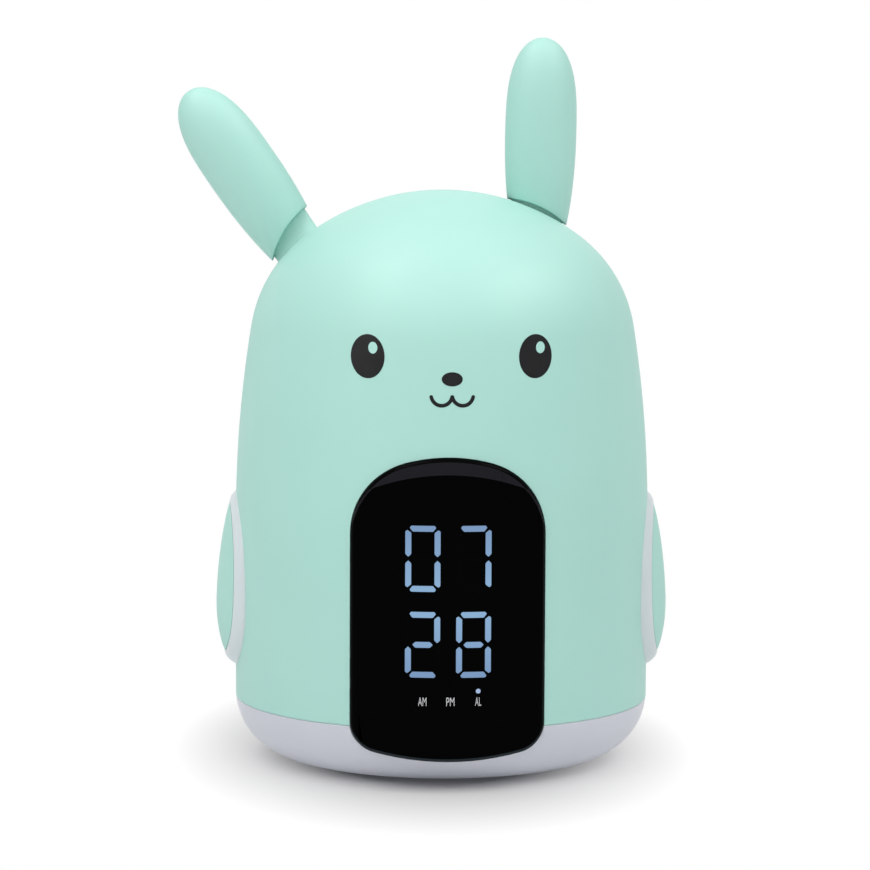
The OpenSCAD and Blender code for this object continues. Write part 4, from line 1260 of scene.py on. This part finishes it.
class CLOCK_OT_arms(Piece, bpy.types.Operator):
    """Add the glowing rings and the mint caps at the sides"""

    bl_idname = "clock.arms"
    bl_label = "Arms"
    lip = 0.012

    def build(self):
        for side in ("left", "right"):
            ring = arm_surface(side + "_arm_ring", self.ring_profile(), side == "left")
            finish(ring, HOUSING, "arm_white", side + "_arm_diffuser")
            cap = arm_surface(side + "_arm_shell", self.cap_profile(), side == "left")
            finish(cap, HOUSING, "mint_shell", side + "_arm_cap")

    def ring_profile(self):
        a = settings().arms
        inside = 1 - a.ring / a.half_w
        band = [(1 - (1 - inside) * t, 0.0) for t in (0, 0.06, 0.14, 0.25, 0.4, 0.55, 0.7, 0.85, 0.96)]
        step = inside - self.lip
        recess = [(inside, -0.12 * MM), (step, -0.5 * MM), (step, -a.recess), (0, -a.recess)]
        return [(0, -3 * MM), (1, -3 * MM)] + band + recess

    def cap_profile(self):
        a = settings().arms
        edge = 1 - (a.ring + a.gap) / a.half_w
        step = edge - self.lip
        dome = []
        for k in range(14):
            part = edge * math.cos(math.radians(k * 6.6 + 3))
            dome.append((part, a.bulge * (1 - (part / edge) ** 2) ** 0.85))
        foot = [(0, -a.recess), (step, -a.recess), (step, -0.3 * MM), (edge, -0.02 * MM)]
        return foot + dome + [(0, a.bulge)]


# ---- Printed face ----


def printed(name, outlines, lift=INK):
    """Thin ink shapes laid on the shoulder of the front shell."""
    outline = Outline()
    obj = joined(name, [flat("print", points) for points in outlines])
    for axis in (0, 2):
        sliced_each_mm(obj, axis)
    thickened(obj, SHEET)
    return clean(reshaped(obj, lambda p: Vector((p.x, p.y + outline.front(p.x, p.z, lift), p.z))))


def stroke(x, z, r, start, end, width, steps=16):
    """A curved pen stroke with round ends, as a closed outline."""
    a, b = math.radians(start), math.radians(end)
    half = width / 2
    far = (x + r * math.cos(b), z + r * math.sin(b))
    near = (x + r * math.cos(a), z + r * math.sin(a))
    return (
        arc(x, z, r + half, a, b, steps)
        + arc(*far, half, b, b + math.pi, 6)[1:-1]
        + arc(x, z, r - half, b, a, steps)
        + arc(*near, half, a - math.pi, a, 6)[1:-1]
    )


class CLOCK_OT_face(Piece, bpy.types.Operator):
    """Add a plain printed face: two oval eyes, a nose and a small mouth"""

    bl_idname = "clock.face"
    bl_label = "Printed face"

    def build(self):
        mid, eye_x, eye_z = 0.8 * MM, 21.5 * MM, 112 * MM
        nose_z, mouth_z = 106.6 * MM, 102.6 * MM
        curl = 2.7 * MM
        shapes = [oval(mid + side * eye_x, eye_z, 4.3 * MM, 5.6 * MM) for side in (-1, 1)]
        shapes.append(oval(mid, nose_z, 2.7 * MM, 1.8 * MM))
        shapes += [stroke(mid + side * curl, mouth_z, curl, -170, -10, 0.95 * MM) for side in (-1, 1)]
        finish(printed("face_ink", shapes), HOUSING, "face_print")
        glint_x, glint_z = mid + 1.3 * MM, eye_z + 2.2 * MM
        glints = [oval(glint_x + side * eye_x, glint_z, 1.15 * MM, 1.5 * MM, 24) for side in (-1, 1)]
        finish(printed("face_glints", glints, 2 * INK), HOUSING, "mint_shell")


# ---- Rear ----


class CLOCK_OT_buttons(Piece, bpy.types.Operator):
    """Add the four push buttons at the back"""

    bl_idname = "clock.buttons"
    bl_label = "Buttons"

    def build(self):
        rear = settings().rear
        names = ("hour", "minute", "alarm", "light")
        for name, (x, z) in zip(names, button_places()):
            low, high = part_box("button_" + name)
            r, edge = rear.button, 0.5 * MM
            face = high.y
            length = face - low.y
            profile = (
                [(0, 0), (r * 0.5, 0), (r * 0.5, length * 0.5), (r, length * 0.5)]
                + arc(r - edge, length - edge, edge, 0, math.pi / 2, 5)
                + [((r - 2 * edge) * t, length - rear.dish * (1 - t * t)) for t in (1.0, 0.8, 0.55, 0.3, 0)]
            )
            button = spun(name + "_cap", profile, 48)
            placed(button, Matrix.Translation((x, low.y, z)) @ Matrix.Rotation(-math.pi / 2, 4, "X"))
            smooth(button, 35)
            finish(button, name + "_button", "button_white", "button_" + name)


def screw(name, head, shank, long):
    """A screw that points down, with a low domed head and a cross in it."""
    r = settings().rear.screw_head
    dome = 0.45 * MM
    point = [(0, -long), (shank * 0.6, -long + MM), (shank, -long + 2 * MM), (shank, 0)]
    top = [(r * math.cos(t), head - dome + dome * math.sin(t)) for t in (0, 0.4, 0.8, 1.2)]
    obj = spun(name, point + [(r - 0.2 * MM, 0), (r, 0.2 * MM)] + top + [(0, head)], 32)
    for angle in (0, math.pi / 2):
        bpy.ops.mesh.primitive_cube_add(size=1)
        bar = bpy.context.object
        shape = Matrix.Diagonal((r * 1.15, 0.55 * MM, 1.6 * MM, 1))
        placed(bar, Matrix.Translation((0, 0, head)) @ Matrix.Rotation(angle, 4, "Z") @ shape)
        combine(obj, bar, "DIFFERENCE")
    return smooth(obj, 35)


class CLOCK_OT_screws(Piece, bpy.types.Operator):
    """Add the screws that hold the shells and the base plate"""

    bl_idname = "clock.screws"
    bl_label = "Screws"

    def build(self):
        rear = settings().rear
        out = Matrix.Rotation(-math.pi / 2, 4, "X")
        turns = (0.3, 1.0, 1.9, 2.6)
        places = [
            Matrix.Translation((x, rear.well_floor, z)) @ out @ Matrix.Rotation(t, 4, "Z")
            for (x, z), t in zip(shell_screw_places(), turns)
        ]
        first = screw("screw", 1.8 * MM, 1.3 * MM, 16 * MM)
        finish(joined("shell_fixings", copied(first, places)), HOUSING, "screw_steel", "shell_screws")
        low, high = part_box("base_screws")
        head = 1.1 * MM
        down = Matrix.Rotation(math.pi, 4, "X")
        places = [
            Matrix.Translation((x, y, low.z + head)) @ down @ Matrix.Rotation(t, 4, "Z")
            for (x, y), t in zip(base_screw_places(), turns)
        ]
        first = screw("screw", head, 1.3 * MM, high.z - low.z - head)
        finish(joined("base_fixings", copied(first, places)), HOUSING, "screw_steel", "base_screws")


# ---- Inside ----


class CLOCK_OT_inside(Piece, bpy.types.Operator):
    """Give every solid that is kept as it is the finish of its own slot"""

    bl_idname = "clock.inside"
    bl_label = "Inner pieces"

    def build(self):
        for part in frame["record"]["subparts"]:
            node = frame["nodes"][part["node"]]
            node.data.materials.clear()
            node.data.materials.append(FINISHES[part["material_slot"]]())


# ---- Stage ----


def softbox(name, place, wide, tall, watts):
    data = bpy.data.lights.new(name, "AREA")
    data.shape = "RECTANGLE"
    data.size, data.size_y = wide, tall
    data.energy = watts
    lamp = bpy.data.objects.new(name, data)
    bpy.context.scene.collection.objects.link(lamp)
    lamp.location = place
    lamp.rotation_euler = (LAMP_AIM - Vector(place)).to_track_quat("-Z", "Y").to_euler()


def seen_by_eye(tree):
    """1 for what the camera sees straight, in reflections or through something clear."""
    path = tree.nodes.new("ShaderNodeLightPath")
    rays = [path.outputs[name] for name in ("Is Camera Ray", "Is Glossy Ray", "Is Transmission Ray")]
    for ray in rays[1:]:
        either = tree.nodes.new("ShaderNodeMath")
        either.operation = "MAXIMUM"
        tree.links.new(rays[0], either.inputs[0])
        tree.links.new(ray, either.inputs[1])
        rays[0] = either.outputs[0]
    return rays[0]


LAMP_AIM = Vector((0, 0, 0.09))
WORLD_LEVEL = 0.30
# Floor tints: its own, for light that bounces off it, and a darker one seen by the camera, which paints shade
# into the floor near the clock.
FLOOR_TINT, PAINTED_SHADE_FLOOR_TINT = (0.93,) * 3, (0.52,) * 3

# The oval outside which the floor is seen white, and inside which its darker painted-shade tint shows: stretch of
# each axis, middle, and where the fade starts and ends
FADE_STRETCH = (1.124, 0.641, 0)
FADE_MIDDLE = (-0.0022, 0.0077, 0)
FADE_REACH = (0.0357, 0.078)

# Name, place, width, height and power of each soft light
LAMPS = (
    ("top_box", (0.0, 0.05, 1.15), 0.90, 0.60, 1.30),
    ("left_top_box", (-0.42, -0.05, 1.05), 0.45, 0.45, 2.35),
    ("right_top_box", (0.62, -0.12, 0.92), 0.45, 0.45, 2.35),
    ("left_high_box", (-0.60, -0.60, 0.95), 0.50, 0.50, 2.80),
    ("right_high_box", (0.60, -0.60, 0.95), 0.50, 0.50, 2.05),
    ("high_front_box", (0.0, -0.75, 1.00), 0.70, 0.50, 1.85),
    ("left_front_box", (-0.90, -0.75, 0.55), 0.40, 0.60, 1.15),
    ("front_box", (-0.20, -1.50, 0.70), 0.90, 0.60, 0.43),
)


class CLOCK_OT_stage(Piece, bpy.types.Operator):
    """Add the pale floor, the soft lights and the camera"""

    bl_idname = "clock.stage"
    bl_label = "Stage"

    def build(self):
        self.floor()
        scene = bpy.context.scene
        self.world(scene)
        for lamp in LAMPS:
            softbox(*lamp)
        self.camera(scene)
        scene.view_settings.view_transform = "Standard"

    def floor(self):
        bpy.ops.object.select_all(action="DESELECT")
        bpy.ops.mesh.primitive_plane_add(size=8)
        floor = bpy.context.object
        floor.name = "floor"
        floor.data.materials.append(self.pale())

    def pale(self):
        """A pale floor that keeps the shadow near the clock, deepened by painted shade where the camera sees it
        at a darker tint, and is seen white away from it.
        """
        n = Nodes("pale_floor", 0.9)
        n.shader.inputs["Specular IOR Level"].default_value = 0.0
        eye = seen_by_eye(n.tree)
        # The camera sees the darker tint: painted shade on the floor near the clock.
        n.link(n.mixed(eye, FLOOR_TINT, PAINTED_SHADE_FLOOR_TINT), n.shader.inputs["Base Color"])
        white = n.add("ShaderNodeEmission")
        away = n.ranged(n.distance(FADE_STRETCH, FADE_MIDDLE), 0.0, 1.0, *FADE_REACH)
        seen = n.add("ShaderNodeMath", operation="MULTIPLY")
        n.link(away, seen.inputs[0])
        n.link(eye, seen.inputs[1])
        mix = n.add("ShaderNodeMixShader")
        for source, target in zip((seen, n.shader, white), mix.inputs):
            n.link(source.outputs[0], target)
        n.link(mix.outputs[0], n.tree.nodes["Material Output"].inputs["Surface"])
        return n.material

    def world(self, scene):
        world = scene.world or bpy.data.worlds.new("studio")
        scene.world = world
        world.use_nodes = True
        background = world.node_tree.nodes["Background"]
        background.inputs["Color"].default_value = (1, 1, 1, 1)
        level = world.node_tree.nodes.new("ShaderNodeMapRange")
        level.inputs["To Min"].default_value = WORLD_LEVEL
        world.node_tree.links.new(seen_by_eye(world.node_tree), level.inputs["Value"])
        world.node_tree.links.new(level.outputs["Result"], background.inputs["Strength"])

    def camera(self, scene):
        data = bpy.data.cameras.new("camera")
        data.lens, data.sensor_width, data.clip_end = 185.9, 36, 20
        data.shift_x, data.shift_y = -0.0080, 0.0269
        camera = bpy.data.objects.new("camera", data)
        scene.collection.objects.link(camera)
        place, aim = Vector((-0.0395, -1.1907, 0.2237)), Vector((0, 0, 0.08))
        look = (aim - place).to_track_quat("-Z", "Y").to_matrix().to_4x4()
        roll = Matrix.Rotation(math.radians(0.28), 4, "Z")
        camera.matrix_world = Matrix.Translation(place) @ look @ roll
        scene.camera = camera


# ---- Add-on ----

PIECES = (
    CLOCK_OT_inside,
    CLOCK_OT_shells,
    CLOCK_OT_base,
    CLOCK_OT_display,
    CLOCK_OT_digits,
    CLOCK_OT_labels,
    CLOCK_OT_ears,
    CLOCK_OT_arms,
    CLOCK_OT_face,
    CLOCK_OT_buttons,
    CLOCK_OT_screws,
    CLOCK_OT_stage,
)
GROUPS = (ClockBody, ClockDisplay, ClockEars, ClockArms, ClockRear, ClockColours, ClockSettings)


class CLOCK_PT_panel(bpy.types.Panel):
    """Lists the clock's pieces"""

    bl_idname = "CLOCK_PT_panel"
    bl_label = "Alarm clock"
    bl_space_type = "VIEW_3D"
    bl_region_type = "UI"
    bl_category = "Clock"

    def draw(self, context):
        for piece in PIECES:
            self.layout.operator(piece.bl_idname)
        for group in ("body", "display", "ears", "arms", "rear", "colours"):
            box = self.layout.box()
            box.label(text=group.title())
            values = getattr(context.scene.clock, group)
            for name in values.__annotations__:
                box.prop(values, name, text=name.replace("_", " ").capitalize())


def register():
    for item in GROUPS + PIECES + (CLOCK_PT_panel,):
        bpy.utils.register_class(item)
    bpy.types.Scene.clock = PointerProperty(type=ClockSettings)


def unregister():
    del bpy.types.Scene.clock
    for item in reversed(GROUPS + PIECES + (CLOCK_PT_panel,)):
        bpy.utils.unregister_class(item)


def main():
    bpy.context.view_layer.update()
    register()
    for piece in PIECES:
        group, name = piece.bl_idname.split(".")
        getattr(getattr(bpy.ops, group), name)()


if __name__ == "__main__":
    main()
